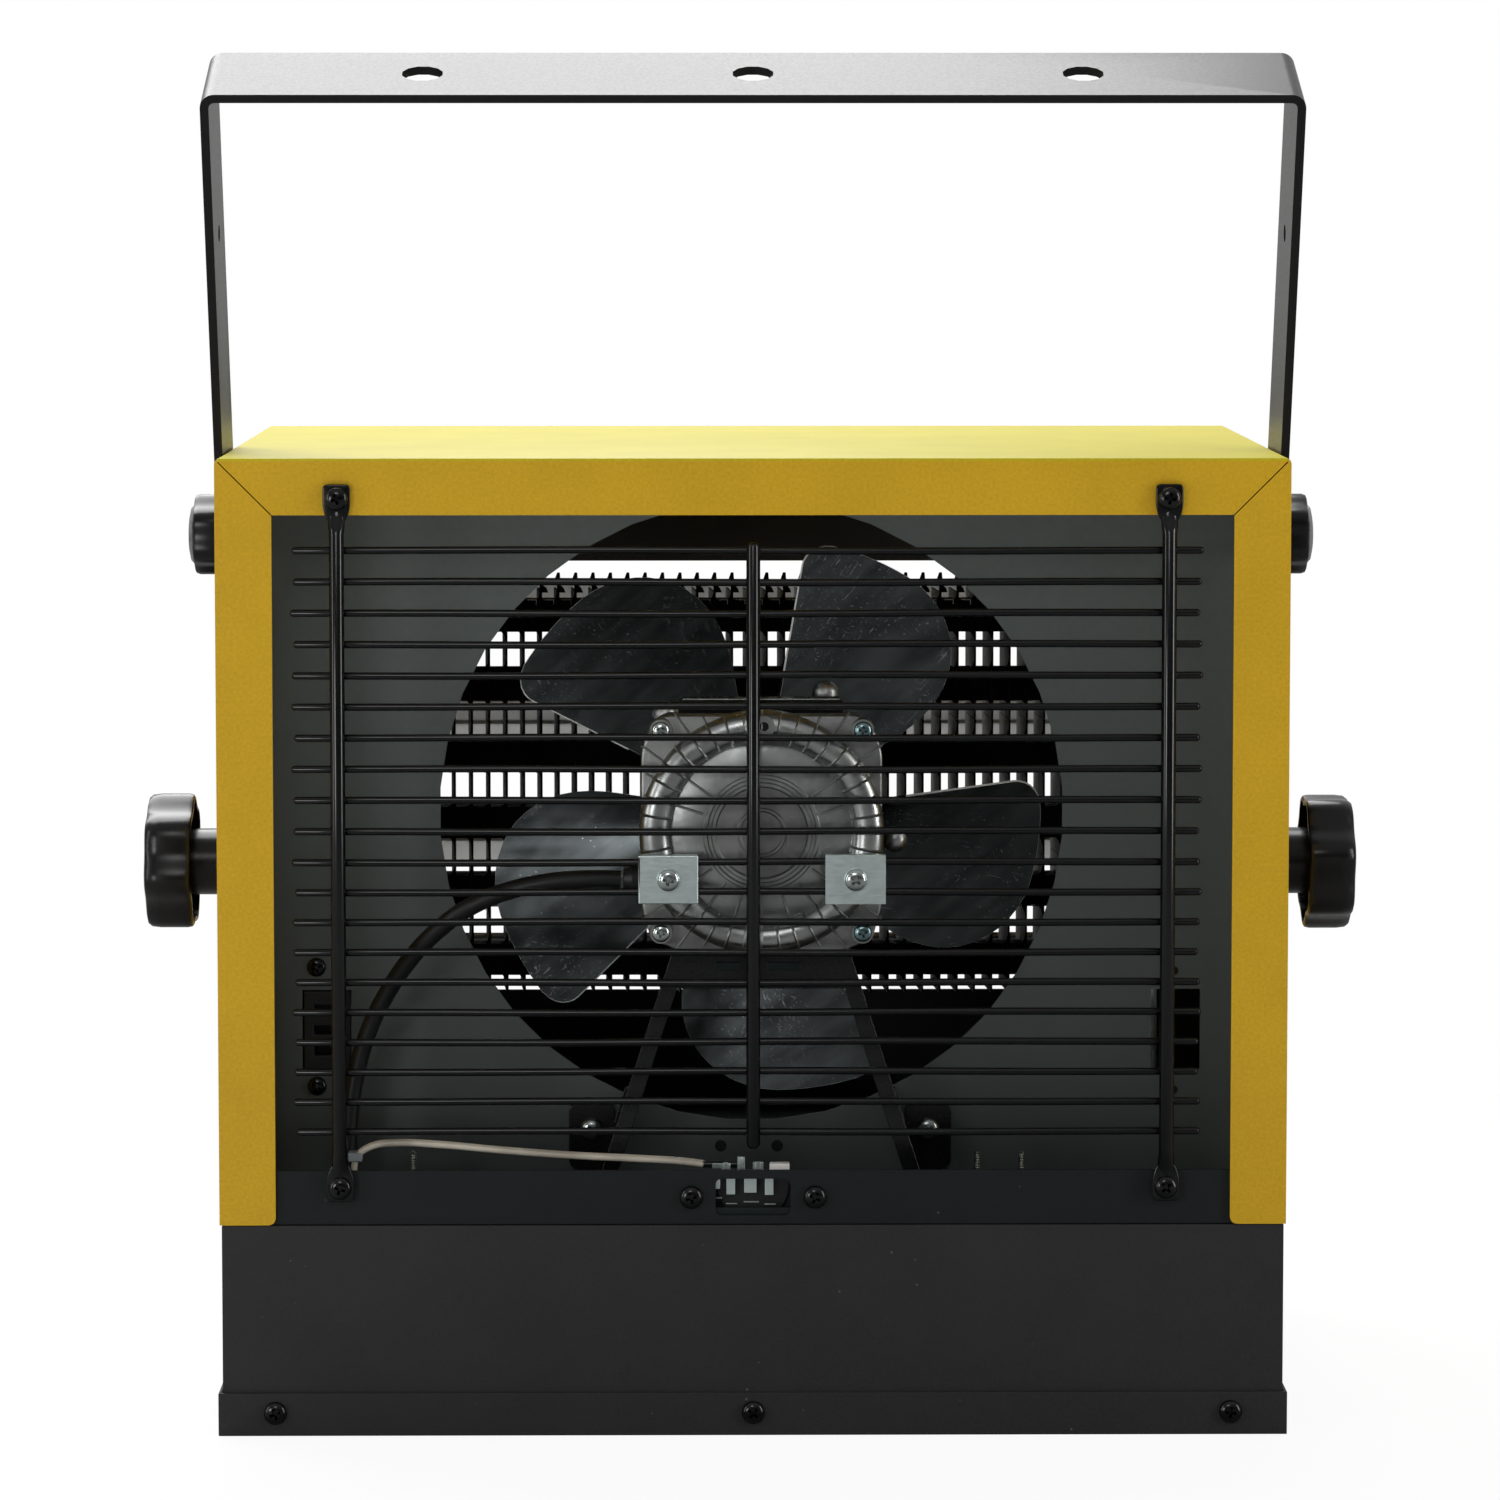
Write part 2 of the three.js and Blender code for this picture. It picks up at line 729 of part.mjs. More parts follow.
// A flattened rod end round a screw: direction is where the rod comes from
function eyelet(x, screwLevel, direction) {
  const shape = new THREE.Shape();
  const lean = Math.asin((eyeletRadius - rodRadius) / eyeletNeck);
  const start = direction > 0 ? Math.PI - lean : -lean;
  const sweep = Math.PI + 2 * lean;
  shape.absarc(x, screwLevel, eyeletRadius, start, start + sweep, false);
  const side = direction > 0 ? 1 : -1;
  shape.lineTo(x + side * rodRadius, screwLevel + direction * eyeletNeck);
  shape.lineTo(x - side * rodRadius, screwLevel + direction * eyeletNeck);
  const [y0, y1] = [rearY - seatGap - eyeletSheet, rearY - seatGap];
  const hole = screwHoleY(x, screwLevel, y0, y1);
  return { plate: plateAlongY(shape, y0, y1, 4), hole };
}

function wireLevels() {
  const levels = [];
  for (let i = 0; i < wireCount; i += 1) {
    const upper = Math.min(i, clipWire);
    levels.push(topWireLevel - upper * upperWirePitch - (i - upper) * lowerWirePitch);
  }
  return levels;
}

function wireGuard() {
  const parts = [];
  const holes = [];
  const railLow = bottomEyeletLevel + eyeletNeck / 2;
  const railHigh = topEyeletLevel - eyeletNeck / 2;
  for (const side of [-1, 1]) {
    const x = (side * rodSpan) / 2;
    parts.push(bar('z', [x, rodY], rodRadius, railLow, railHigh, 8));
    for (const [level, direction] of [[topEyeletLevel, -1], [bottomEyeletLevel, 1]]) {
      const end = eyelet(x, level, direction);
      parts.push(end.plate);
      holes.push(end.hole);
    }
  }
  const centreY = wireY - wireRadius - centreRodRadius + weldSink;
  const centreRodLow = bottomWireLevel - centreRodBelow;
  const centreRodHigh = topWireLevel + centreRodAbove;
  parts.push(bar('z', [0, centreY], centreRodRadius, centreRodLow, centreRodHigh, 8));
  const [from, to] = [wireShift - wireLength / 2, wireShift + wireLength / 2];
  for (const level of wireLevels()) {
    parts.push(bar('x', [wireY, level], wireRadius, from, to, 6));
  }
  return cut(join(...parts), ...holes);
}

// A pan-head screw: the head's underside is at y = 0 and the shank runs to +Y
function panScrew() {
  return turned('y', [
    [0, -screwHeadHeight],
    [screwHeadRadius * screwCrownShare, -screwHeadHeight],
    [screwHeadRadius, -screwHeadHeight * screwRimShare],
    [screwHeadRadius, 0],
    [screwShankRadius, 0],
    [screwShankRadius, screwLength],
    [0, screwLength],
  ], 6);
}

// Motor

function bellOutline() {
  const half = [
    [motorTopHalf, motorTop],
    [motorHalfWidth, motorTop - motorTopDrop],
    [motorHalfWidth, -motorCheekDrop],
    [motorJawHalf, -motorJawDrop],
    [motorFootHalf, -motorBottom],
  ];
  const mirrored = half.map(([x, z]) => [-x, z]).reverse();
  return outline([...half, ...mirrored]);
}

function clipScrewLevel() {
  const levels = wireLevels();
  return (levels[clipWire] + levels[clipWire + 1]) / 2 - clipDrop;
}

function motorRearBell() {
  const webY = motorRearY + bellWebSink;
  const flangeY = motorRearY + ringTube;
  const rise = [];
  for (let i = 0; i <= 4; i += 1) {
    const angle = Math.PI * (1 - i / 4);
    rise.push([ringRadius + ringTube * Math.cos(angle), flangeY - ringTube * Math.sin(angle)]);
  }
  const hubY = motorRearY + bellHubSink;
  const dish = turned('y', [
    [0, hubY - bellCapRise],
    [bellCapRadius, hubY - bellCapRise],
    [bellCapRadius, hubY],
    [bellHubRadius, hubY],
    [bellHubRadius, webY],
    [bellWebRadius, webY],
    ...rise,
    [ringRadius + ringTube, flangeY + bellFlange],
    [ringRadius, motorRearY + bellDepth],
    [0, motorRearY + bellDepth],
  ], 22);
  const flange = plateAlongY(bellOutline(), flangeY, flangeY + bellFlange);
  const [hollowRear, hollowFront] = [hubY + bellCapRise, motorRearY + bellDepth + overrun];
  const hollow = bar('y', [0, 0], bellHubRadius, hollowRear, hollowFront, 12);
  const level = clipScrewLevel() - fanLevel;
  const holes = [-1, 1].map((side) => {
    const x = (side * clipSpan) / 2;
    return screwHoleY(x, level, motorRearY, motorRearY + bellDepth / 2);
  });
  return cut(join(dish, flange, ...bellRibs(webY)), hollow, ...holes);
}

function bellRibs(webY) {
  const ribs = [];
  const half = bellRibWidth / 2;
  for (let i = 0; i < bellRibCount; i += 1) {
    const [low, high] = [webY - bellRibHeight, webY + bellRibHeight];
    const rib = block(-half, half, low, high, bellHubRadius + half, ringRadius);
    ribs.push(rib.rotate([0, (360 * (i + 1 / 2)) / bellRibCount, 0]));
  }
  return ribs;
}

function motorStator() {
  const shape = roundedRectangle(-statorHalf, statorHalf, -statorHalf, statorHalf, statorCorner);
  const statorFront = statorRearY + statorDepth;
  const stack = plateAlongY(shape, statorRearY, statorFront, 3);
  const bore = bar('y', [0, 0], bellHubRadius, statorRearY - overrun, statorFront + overrun, 18);
  return cut(stack, bore);
}

function motorFrontBell() {
  const back = frontBellY + frontBellDepth;
  return turned('y', [
    [shaftRadius + boreGap, frontBellY],
    [frontBellRim, frontBellY],
    [frontBellRim, frontBellY + frontBellDepth / 2],
    [frontBellRadius - statorCorner, back],
    [noseRadius, back],
    [noseRadius, back + noseDepth],
    [shaftRadius + boreGap, back + noseDepth],
    [shaftRadius + boreGap, frontBellY],
  ], 20);
}

function motorShaft() {
  return turned('y', [
    [0, statorRearY],
    [bellHubRadius - boreGap, statorRearY],
    [bellHubRadius - boreGap, statorRearY + statorDepth],
    [shaftRadius, statorRearY + statorDepth],
    [shaftRadius, fanY + hubLength / 2 + shaftReach],
    [0, fanY + hubLength / 2 + shaftReach],
  ], 18);
}

function guardClip() {
  const front = wireY - wireRadius - seatGap - clipSheet;
  const [halfW, halfH] = [clipWidth / 2, clipHeight / 2];
  const face = block(-halfW, halfW, front, front + clipSheet, -halfH, halfH);
  const lips = [-1, 1].map((side) => {
    const [edge, inner] = [side * halfH, side * (halfH - clipSheet)];
    const [low, high] = [Math.min(edge, inner), Math.max(edge, inner)];
    return block(-halfW, halfW, front, front + clipLip, low, high);
  });
  return cut(join(face, ...lips), screwHoleY(0, 0, front, front + clipSheet));
}

// Motor stand: a saddle under the motor on two splayed legs

// One leg: a channel with its wall on the inner edge, and a lower end that meets the fan panel
function standLeg(side) {
  const top = -statorHalf - seatGap - standSheet;
  const low = deckTop + footLow - fanLevel;
  const x0 = side * (saddleHalf - standWidth);
  const x1 = side * (footReach - footWidth / 2 + standWidth);
  const [rear, seat] = [saddleY(), panelY - seatGap];
  const face = outline([
    [x0, top],
    [x0 + side * standWidth, top],
    [x1, low],
    [x1 - side * standWidth, low],
  ]);
  const hollow = outline([
    [x0 + side * standSheet, top + overrun],
    [x0 + side * (standWidth + overrun), top + overrun],
    [x1 + side * overrun, low - overrun],
    [x1 - side * (standWidth - standSheet), low - overrun],
  ]);
  const above = block(-casingWidth, casingWidth, rear + legDepth, panelY, low + gussetTop, 0);
  const inside = plateAlongY(hollow, rear + standSheet, seat - standSheet);
  return cut(plateAlongY(face, rear, seat), inside, above);
}

function saddleY() {
  return statorRearY + statorDepth / 2;
}

function standFoot(side) {
  const edge = side * footReach;
  const low = deckTop + footLow - fanLevel;
  const [x0, x1] = [edge - footWidth / 2, edge + footWidth / 2];
  const shape = roundedRectangle(x0, x1, low, low + footHeight, footCorner);
  const rear = panelY - seatGap - standSheet;
  const plate = plateAlongY(shape, rear, panelY - seatGap, 3);
  return cut(plate, screwHoleY(edge, standScrewLevel - fanLevel, rear, panelY));
}

function motorStand() {
  const top = -statorHalf - seatGap;
  const rear = saddleY();
  const shelf = block(-saddleHalf, saddleHalf, rear, rear + legDepth, top - standSheet, top);
  const apron = block(-saddleHalf, saddleHalf, rear, rear + standSheet, top - saddleApron, top);
  const legs = [-1, 1].flatMap((side) => [standLeg(side), standFoot(side)]);
  return join(shelf, apron, ...legs);
}

// Fan

// The blade's outer radius where u runs from the straight edge (0) to the trailing lobe (1)
function bladeTip(u) {
  const trail = fanRadius * bladeTrailShare;
  if (u < bladeCornerShare) {
    const away = 1 - u / bladeCornerShare;
    return fanRadius - bladeCorner * (1 - Math.sqrt(1 - away * away));
  }
  if (u > bladeShoulderShare) {
    const along = (u - bladeShoulderShare) / (1 - bladeShoulderShare);
    return trail + (fanRadius - trail) * Math.sqrt(Math.max(0, 1 - along * along));
  }
  return fanRadius;
}

function bladePoint(u, radius, lift) {
  const angle = ((bladeLeadAngle - u * bladeSpanAngle) * Math.PI) / 180;
  const reach = bladeAxialReach * (radius / fanRadius) ** bladeTaperShare;
  const camber = bladeAxialReach * bladeCamberShare * (1 - (2 * u - 1) ** 2);
  return [radius * Math.cos(angle), (2 * u - 1) * reach + camber + lift, radius * Math.sin(angle)];
}

function fanBlade() {
  const [across, along] = [8, 2];
  const points = [];
  for (const lift of [-bladeSheet / 2, bladeSheet / 2]) {
    for (let i = 0; i <= across; i += 1) {
      const u = (1 - Math.cos((Math.PI * i) / across)) / 2;
      for (let j = 0; j <= along; j += 1) {
        const radius = bladeRootRadius + ((bladeTip(u) - bladeRootRadius) * j) / along;
        points.push(...bladePoint(u, radius, lift));
      }
    }
  }
  const layer = (across + 1) * (along + 1);
  const at = (side, i, j) => side * layer + i * (along + 1) + j;
  const faces = [];
  const quad = (a, b, c, d) => faces.push(a, b, c, a, c, d);
  for (let i = 0; i < across; i += 1) {
    for (let j = 0; j < along; j += 1) {
      quad(at(0, i, j), at(0, i + 1, j), at(0, i + 1, j + 1), at(0, i, j + 1));
      quad(at(1, i, j), at(1, i, j + 1), at(1, i + 1, j + 1), at(1, i + 1, j));
    }
    quad(at(0, i, 0), at(1, i, 0), at(1, i + 1, 0), at(0, i + 1, 0));
    quad(at(0, i, along), at(0, i + 1, along), at(1, i + 1, along), at(1, i, along));
  }
  for (let j = 0; j < along; j += 1) {
    quad(at(0, 0, j), at(0, 0, j + 1), at(1, 0, j + 1), at(1, 0, j));
    quad(at(0, across, j), at(1, across, j), at(1, across, j + 1), at(0, across, j + 1));
  }
  const geometry = new THREE.BufferGeometry();
  geometry.setAttribute('position', new THREE.Float32BufferAttribute(points, 3));
  geometry.setIndex(faces);
  return toSolid(geometry);
}

function fan() {
  const blade = fanBlade();
  const blades = [];
  for (let i = 0; i < bladeCount; i += 1) {
    blades.push(blade.rotate([0, (360 * i) / bladeCount, 0]));
  }
  const half = hubLength / 2;
  const hub = turned('y', [
    [shaftRadius + boreGap, -half],
    [hubRadius, -half],
    [hubRadius, half - hubBoreSeat],
    [noseRadius, half],
    [shaftRadius + boreGap, half],
    [shaftRadius + boreGap, -half],
  ], 18);
  return join(hub, ...blades).translate([0, fanY, 0]);
}

// Heating elements: each one a U of tube through a stack of plate fins

function elementLevels() {
  const levels = [];
  for (let i = 0; i < elementCount; i += 1) {
    levels.push(elementLevel + ((elementCount - 1) / 2 - i) * 2 * tubePitch);
  }
  return levels;
}

function heatingElement(isTop) {
  const half = tubePitch / 2;
  const end = endPlateSpan / 2 + tubeReach;
  const parts = [-half, half].map((z) => bar('x', [elementY, z], tubeRadius, -end, end, tubeSides));
  parts.push(uBend(half).translate([-end, elementY, 0]));
  const [low, high] = [-tubePitch + seatGap / 2, isTop ? half + finTip : tubePitch - seatGap / 2];
  const [y0, y1] = [elementY - finDepth / 2, elementY + finDepth / 2];
  const first = (-(finCount - 1) * finPitch) / 2;
  for (let i = 0; i < finCount; i += 1) {
    const x = first + i * finPitch;
    parts.push(block(x - finSheet / 2, x + finSheet / 2, y0, y1, low, high));
  }
  return join(...parts);
}

// Half a turn of tube in the X and Z plane, open towards +X
function uBend(radius) {
  const turn = new THREE.CatmullRomCurve3([], false);
  const steps = 6;
  for (let i = 0; i <= steps; i += 1) {
    const angle = Math.PI / 2 + (Math.PI * i) / steps;
    turn.points.push(new THREE.Vector3(radius * Math.cos(angle), 0, radius * Math.sin(angle)));
  }
  turn.points.unshift(new THREE.Vector3(overrun, 0, radius));
  turn.points.push(new THREE.Vector3(overrun, 0, -radius));
  const section = [];
  for (let i = 0; i < tubeSides; i += 1) {
    const angle = (2 * Math.PI * (i + 1 / 2)) / tubeSides;
    section.push([tubeRadius * Math.cos(angle), tubeRadius * Math.sin(angle)]);
  }
  const settings = { steps: 6, extrudePath: turn, bevelEnabled: false };
  return toSolid(new THREE.ExtrudeGeometry(outline(section), settings));
}

function elementEndPlate(side) {
  const x = (side * endPlateSpan) / 2;
  const [y0, y1] = [elementY - endPlateDepth / 2, elementY + endPlateDepth / 2];
  const low = deckTop + seatGap;
  const web = block(x - endPlateSheet / 2, x + endPlateSheet / 2, y0, y1, low, endPlateTop);
  const outer = x + side * endPlateLip;
  const foot = block(Math.min(x, outer), Math.max(x, outer), y0, y1, low, low + endPlateSheet);
  const holes = elementLevels().flatMap((level) => [-1, 1].map((step) => {
    const z = level + (step * tubePitch) / 2;
    return bar('x', [elementY, z], tubeRadius + boreGap, x - overrun, x + overrun, tubeSides);
  }));
  return cut(join(web, foot), ...holes);
}

// Outlet panel and louvers

function louverLevels() {
  const levels = [];
  for (let i = 0; i < louverCount; i += 1) {
    levels.push(outletLevel + ((louverCount - 1) / 2 - i) * louverPitch);
  }
  return levels;
}

function frontPanel() {
  const [low, top] = [casingLow + seatGap, bodyHeight - casingSheet - seatGap];
  const [halfW, halfH] = [outletWidth / 2, outletHeight / 2];
  const sheet = block(-innerHalf, innerHalf, frontPanelY, frontPanelY + frontPanelSheet, low, top);
  const [y0, y1] = [frontPanelY - earDepth, frontPanelY + frontPanelSheet];
  const [outletLow, outletTop] = [outletLevel - halfH, outletLevel + halfH];
  const outlet = block(-halfW, halfW, y0 - overrun, y1 + overrun, outletLow, outletTop);
  const ears = [];
  const holes = [];
  for (const side of [-1, 1]) {
    const [inner, outer] = [side * halfW, side * (halfW + frontPanelSheet)];
    const [x0, x1] = [Math.min(inner, outer), Math.max(inner, outer)];
    ears.push(block(x0, x1, y0, y1, outletLow, outletTop));
    for (const level of louverLevels()) {
      const radius = louverPinRadius + boreGap;
      holes.push(bar('x', [louverY, level], radius, x0 - overrun, x1 + overrun, 8));
    }
  }
  return cut(join(cut(sheet, outlet), ...ears), ...holes);
}

// A louver blade with two stiffening ribs and an end pin at each side
function louver() {
  const halfLength = outletWidth / 2 - boreGap;
  const [half, thin] = [louverDepth / 2, louverSheet / 2];
  const sixth = half / 3;
  const section = outline([
    [-half, -thin],
    [half, -thin],
    [half, thin],
    [sixth + louverRib, thin],
    [sixth, thin + louverRib],
    [sixth - louverRib, thin],
    [-sixth + louverRib, thin],
    [-sixth, thin + louverRib],
    [-sixth - louverRib, thin],
    [-half, thin],
  ]);
  const blade = plateAlongX(section, -halfLength, halfLength);
  const reach = outletWidth / 2 + frontPanelSheet + boreGap;
  return join(blade, bar('x', [0, 0], louverPinRadius, -reach, reach, 8));
}

// Yoke, built upright about its pivot and leaned by its group

function yoke() {
  const [half, top] = [armOuter, yokeReach];
  const arch = (inset, low) => {
    const shape = new THREE.Shape();
    const bend = yokeBend - inset;
    const [x, z] = [half - inset, top - inset];
    shape.moveTo(x, low);
    shape.lineTo(x, z - bend);
    shape.absarc(x - bend, z - bend, bend, 0, Math.PI / 2);
    shape.lineTo(-x + bend, z);
    shape.absarc(-x + bend, z - bend, bend, Math.PI / 2, Math.PI);
    shape.lineTo(-x, low);
    return shape;
  };
  const halfWidth = yokeWidth / 2;
  const outer = plateAlongY(arch(0, 0), -halfWidth, halfWidth, 4);
  const inner = plateAlongY(arch(yokeSheet, -overrun), -halfWidth - overrun, halfWidth + overrun, 3);
  const parts = [cut(outer, inner)];
  const holes = [];
  for (const side of [-1, 1]) {
    const [inside, outside] = [side * armInner, side * armOuter];
    const [x0, x1] = [Math.min(inside, outside), Math.max(inside, outside)];
    const [from, to] = [x0 - overrun, x1 + overrun];
    parts.push(bar('x', [0, 0], halfWidth, x0, x1, 20));
    holes.push(bar('x', [0, 0], pivotStudRadius + boreGap, from, to, 12));
    holes.push(bar('x', [0, lockReach], lockStudRadius + boreGap, from, to, 10));
    holes.push(bar('x', [0, spareHoleReach], spareHoleRadius, from, to, 10));
  }
  for (const step of [-1, 0, 1]) {
    const place = [step * barHoleSpan, 0];
    holes.push(bar('z', place, barHoleRadius, top - yokeSheet - overrun, top + overrun, 12));
  }
  return cut(join(...parts), ...holes);
}

// Knobs are built with their hub face at x = 0 and the crown towards +X

function pivotKnob() {
  const steps = 4 * pivotKnobLobes;
  const rim = lobedOutline(pivotKnobRadius, pivotKnobLobe, pivotKnobLobes, steps);
  const inner = pivotKnobRadius - pivotKnobWall;
  const cavity = lobedOutline(inner, pivotKnobLobe, pivotKnobLobes, steps);
  const [x0, x1] = [pivotHubLength, pivotHubLength + pivotKnobThick];
  const body = plateAlongX(rim, x0, x1);
  const hollow = plateAlongX(cavity, x0 - overrun, x1 - pivotKnobCrown);
  const hub = bar('x', [0, 0], pivotHubRadius, 0, x1 - pivotKnobCrown / 2, 14);
  const bore = bar('x', [0, 0], pivotStudRadius + seatGap, -overrun, studBury + seatGap, 12);
  return cut(join(cut(body, hollow), hub), bore);
}

function lockKnob() {
  const rim = lobedOutline(lockKnobRadius, lockKnobLobe, lockKnobLobes, 4 * lockKnobLobes);
  const body = plateAlongX(rim, 0, lockKnobThick);
  const cap = turned('x', [
    [0, lockKnobThick / 2],
    [lockCapRadius, lockKnobThick / 2],
    [lockCapRadius, lockKnobThick + lockCapRise * lockCapEdgeShare],
    [lockCapRadius * lockCapCrownShare, lockKnobThick + lockCapRise * (1 - lockCapEdgeShare)],
    [0, lockKnobThick + lockCapRise],
  ], 14);
  const bore = bar('x', [0, 0], lockStudRadius + seatGap, -overrun, studBury + seatGap, 12);
  return cut(join(body, cap), bore);
}

// A stud that starts buried in its knob and ends inside the casing
function stud(radius, inside) {
  const reach = armOuter - (casingWidth / 2 - casingSheet) + seatGap + inside;
  return bar('x', [0, 0], radius, -reach, studBury, 12);
}

// Electrical pieces at the rear

function limitBracket() {
  const [y0, y1] = [limitPlateY(), limitPlateY() + limitPlateSheet];
  const [halfW, halfH] = [limitPlateWidth / 2, limitPlateHeight / 2];
  const level = windowLevel();
  const plate = block(-halfW, halfW, y0, y1, level - halfH, level + halfH);
  const tools = [];
  const pitch = windowWidth / limitSlotCount;
  for (let i = 0; i < limitSlotCount; i += 1) {
    const x = (i - (limitSlotCount - 1) / 2) * pitch;
    const [half, tall] = [limitSlotWidth / 2, limitSlotHeight / 2];
    tools.push(block(x - half, x + half, y0 - overrun, y1 + overrun, level - tall, level + tall));
  }
  for (const side of [-1, 1]) {
    tools.push(screwHoleY((side * ledgeScrewSpan) / 2, level, y0, y1));
  }
  return cut(plate, ...tools);
}

function limitPlateY() {
  return ledgeFrontY + deckSheet + seatGap;
}

function limitSwitch() {
  const y0 = limitPlateY() + limitPlateSheet + limitSetback;
  const low = deckTop + seatGap;
  const [halfW, y1] = [limitBodyWidth / 2, y0 + limitBodyDepth];
  const body = block(-halfW, halfW, y0, y1, low, low + limitBodyHeight);
  const tabs = [-1, 1].map((side) => {
    const x = (side * limitTabSpan) / 2;
    const [middle, top] = [(y0 + y1) / 2, low + limitBodyHeight];
    const [halfTab, halfSheet] = [limitTabWidth / 2, limitTabSheet / 2];
    const [rear, front] = [middle - halfSheet, middle + halfSheet];
    return block(x - halfTab, x + halfTab, rear, front, top - overrun, top + limitTabRise);
  });
  return join(body, ...tabs);
}

// Routes hold places from the left, from the rear plane and above the deck
function placed(route, shift = 0) {
  return route.map(([x, y, z]) => [x, rearY + y + shift, deckTop + z]);
}

// The leads rise from the deck beside the left rod and run to the limit switch
const leadRoute = [
  [-140.5, 32, 0.9],
  [-140.3, 32, 10.9],
  [-139, 32, 17.9],
  [-134, 32, 21.5],
  [-124, 31.7, 22.5],
  [-110, 31, 22.5],
  [-90, 28.5, 21.9],
  [-65, 26, 20.3],
  [-42, 24.4, 18.7],
  [-25, 22.6, 17.5],
  [-17, 20.5, 16.3],
];

function limitLead(step) {
  return cord(placed(leadRoute, step * leadShift), leadRadius, leadSides, leadSteps);
}

// The motor cable leaves the gland, bends down past the fan opening and enters the deck
const cableRoute = [
  [-46, 19, 116.9],
  [-53, 19, 117.1],
  [-61, 19.5, 116.9],
  [-71, 20.5, 115.9],
  [-84, 23, 112.9],
  [-98, 26.5, 106.9],
  [-110, 31, 97.9],
  [-121, 36, 85.9],
  [-130, 40, 71.9],
  [-136, 42.5, 58.9],
  [-140, 43.7, 44.9],
  [-142.3, 44, 30.9],
  [-143, 44, 18.9],
  [-143, 44, 8.9],
  [-143, 44, 1.9],
];

function motorCable() {
  return cord(placed(cableRoute), cableRadius, cableSides, cableSteps);
}

function motorGland() {
  const reach = motorHalfWidth - fanShift + seatGap;
  const place = [0, rearY + glandSetback, fanLevel - glandDrop];
  return turned('x', [
    [0, -reach - glandLength],
    [cableRadius + seatGap, -reach - glandLength],
    [glandRadius, -reach - glandLength / 2],
    [glandRadius, -reach],
    [0, -reach],
  ], 12).translate(place);
}

function cableGrommet() {
  const [low, high] = [casingLow - grommetLip - seatGap, deckTop + seatGap + grommetLip];
  const bore = cableRadius + boreGap;
  const [outer, waist] = [grommetRadius + grommetGroove, grommetRadius];
  return turned('z', [
    [bore, low],
    [outer, low],
    [outer, casingLow - seatGap],
    [waist, casingLow - seatGap],
    [waist, deckTop + seatGap],
    [outer, deckTop + seatGap],
    [outer, high],
    [bore, high],
    [bore, low],
  ], 10).translate([grommetX, grommetY, 0]);
}

function panelSocket() {
  const x = -cutoutSpan / 2;
  const [halfW, halfH] = [socketWidth / 2, socketHeight / 2];
  const back = panelY + panelSheet + seatGap;
  const [x0, x1] = [x - halfW, x + halfW];
  const [plateLow, plateTop] = [cutoutLevel - socketPlateHeight / 2, cutoutLevel + socketPlateHeight / 2];
  const plate = block(x0, x1, back, back + socketPlateSheet, plateLow, plateTop);
  const body = block(x0, x1, panelY, panelY + socketDepth, cutoutLevel - halfH, cutoutLevel + halfH);
  const slots = [-1, 0, 1].map((step) => {
    const z = cutoutLevel + step * socketSlotPitch;
    const [slotHalf, tall] = [socketSlotWidth / 2, socketSlotHeight / 2];
    const [rear, front] = [panelY - overrun, panelY + socketDepth / 2];
    return block(x - slotHalf, x + slotHalf, rear, front, z - tall, z + tall);
  });
  return cut(join(plate, body), ...slots);
}

// Controls

// A front knob with a raised grip bar, its back at y = 0
function controlKnob() {
  const bore = controlSpindleRadius + seatGap;
  const skirt = turned('y', [
    [bore, 0],
    [controlKnobRadius, 0],
    [controlKnobRadius, controlKnobThick * knobSkirtShare],
    [controlKnobRadius * knobNeckRadiusShare, controlKnobThick * knobNeckShare],
    [controlKnobRadius * knobTopRadiusShare, controlKnobThick * knobTopShare],
    [0, controlKnobThick * knobTopShare],
    [0, controlKnobThick / 2],
    [bore, controlKnobThick / 2],
    [bore, 0],
  ], 14);
  const [halfX, halfZ] = [controlKnobGrip / 2, controlKnobRadius * knobGripShare];
  const low = (controlKnobThick * (1 / 2 + knobTopShare)) / 2;
  return join(skirt, block(-halfX, halfX, low, controlKnobThick, -halfZ, halfZ));
}

// A switch body with its spindle, standing behind the box's front wall
function controlBody(size, depth) {
  const wall = boxHalfDepth - boxSheet - seatGap;
  const half = size / 2;
  const body = block(-half, half, wall - depth, wall, -half, half);
  const tip = boxHalfDepth + seatGap + controlKnobThick / 2 - seatGap;
  return join(body, bar('y', [0, 0], controlSpindleRadius, wall - overrun, tip, 12));
}

function terminalBlock() {
  const [halfW, halfD] = [terminalWidth / 2, terminalDepth / 2];
  const floor = traySheet + seatGap;
  const body = block(-halfW, halfW, -halfD, halfD, floor, floor + terminalHeight / 2);
  const parts = [body];
  const pitch = (terminalWidth - terminalBarrier) / terminalWays;
  for (let i = 0; i <= terminalWays; i += 1) {
    const x = -halfW + i * pitch;
    parts.push(block(x, x + terminalBarrier, -halfD, halfD, floor, floor + terminalHeight));
  }
  return join(...parts);
}

function supplyGrommet() {
  const [outer, bore] = [supplyRadius + grommetGroove, supplyRadius - grommetGroove];
  const top = traySheet + seatGap;
  return turned('z', [
    [bore, seatGap],
    [supplyRadius, seatGap],
    [supplyRadius, top],
    [outer, top],
    [outer, top + grommetLip],
    [bore, top + grommetLip],
    [bore, seatGap],
  ], 10).translate([supplyX, supplyY, 0]);
}

// Assembly

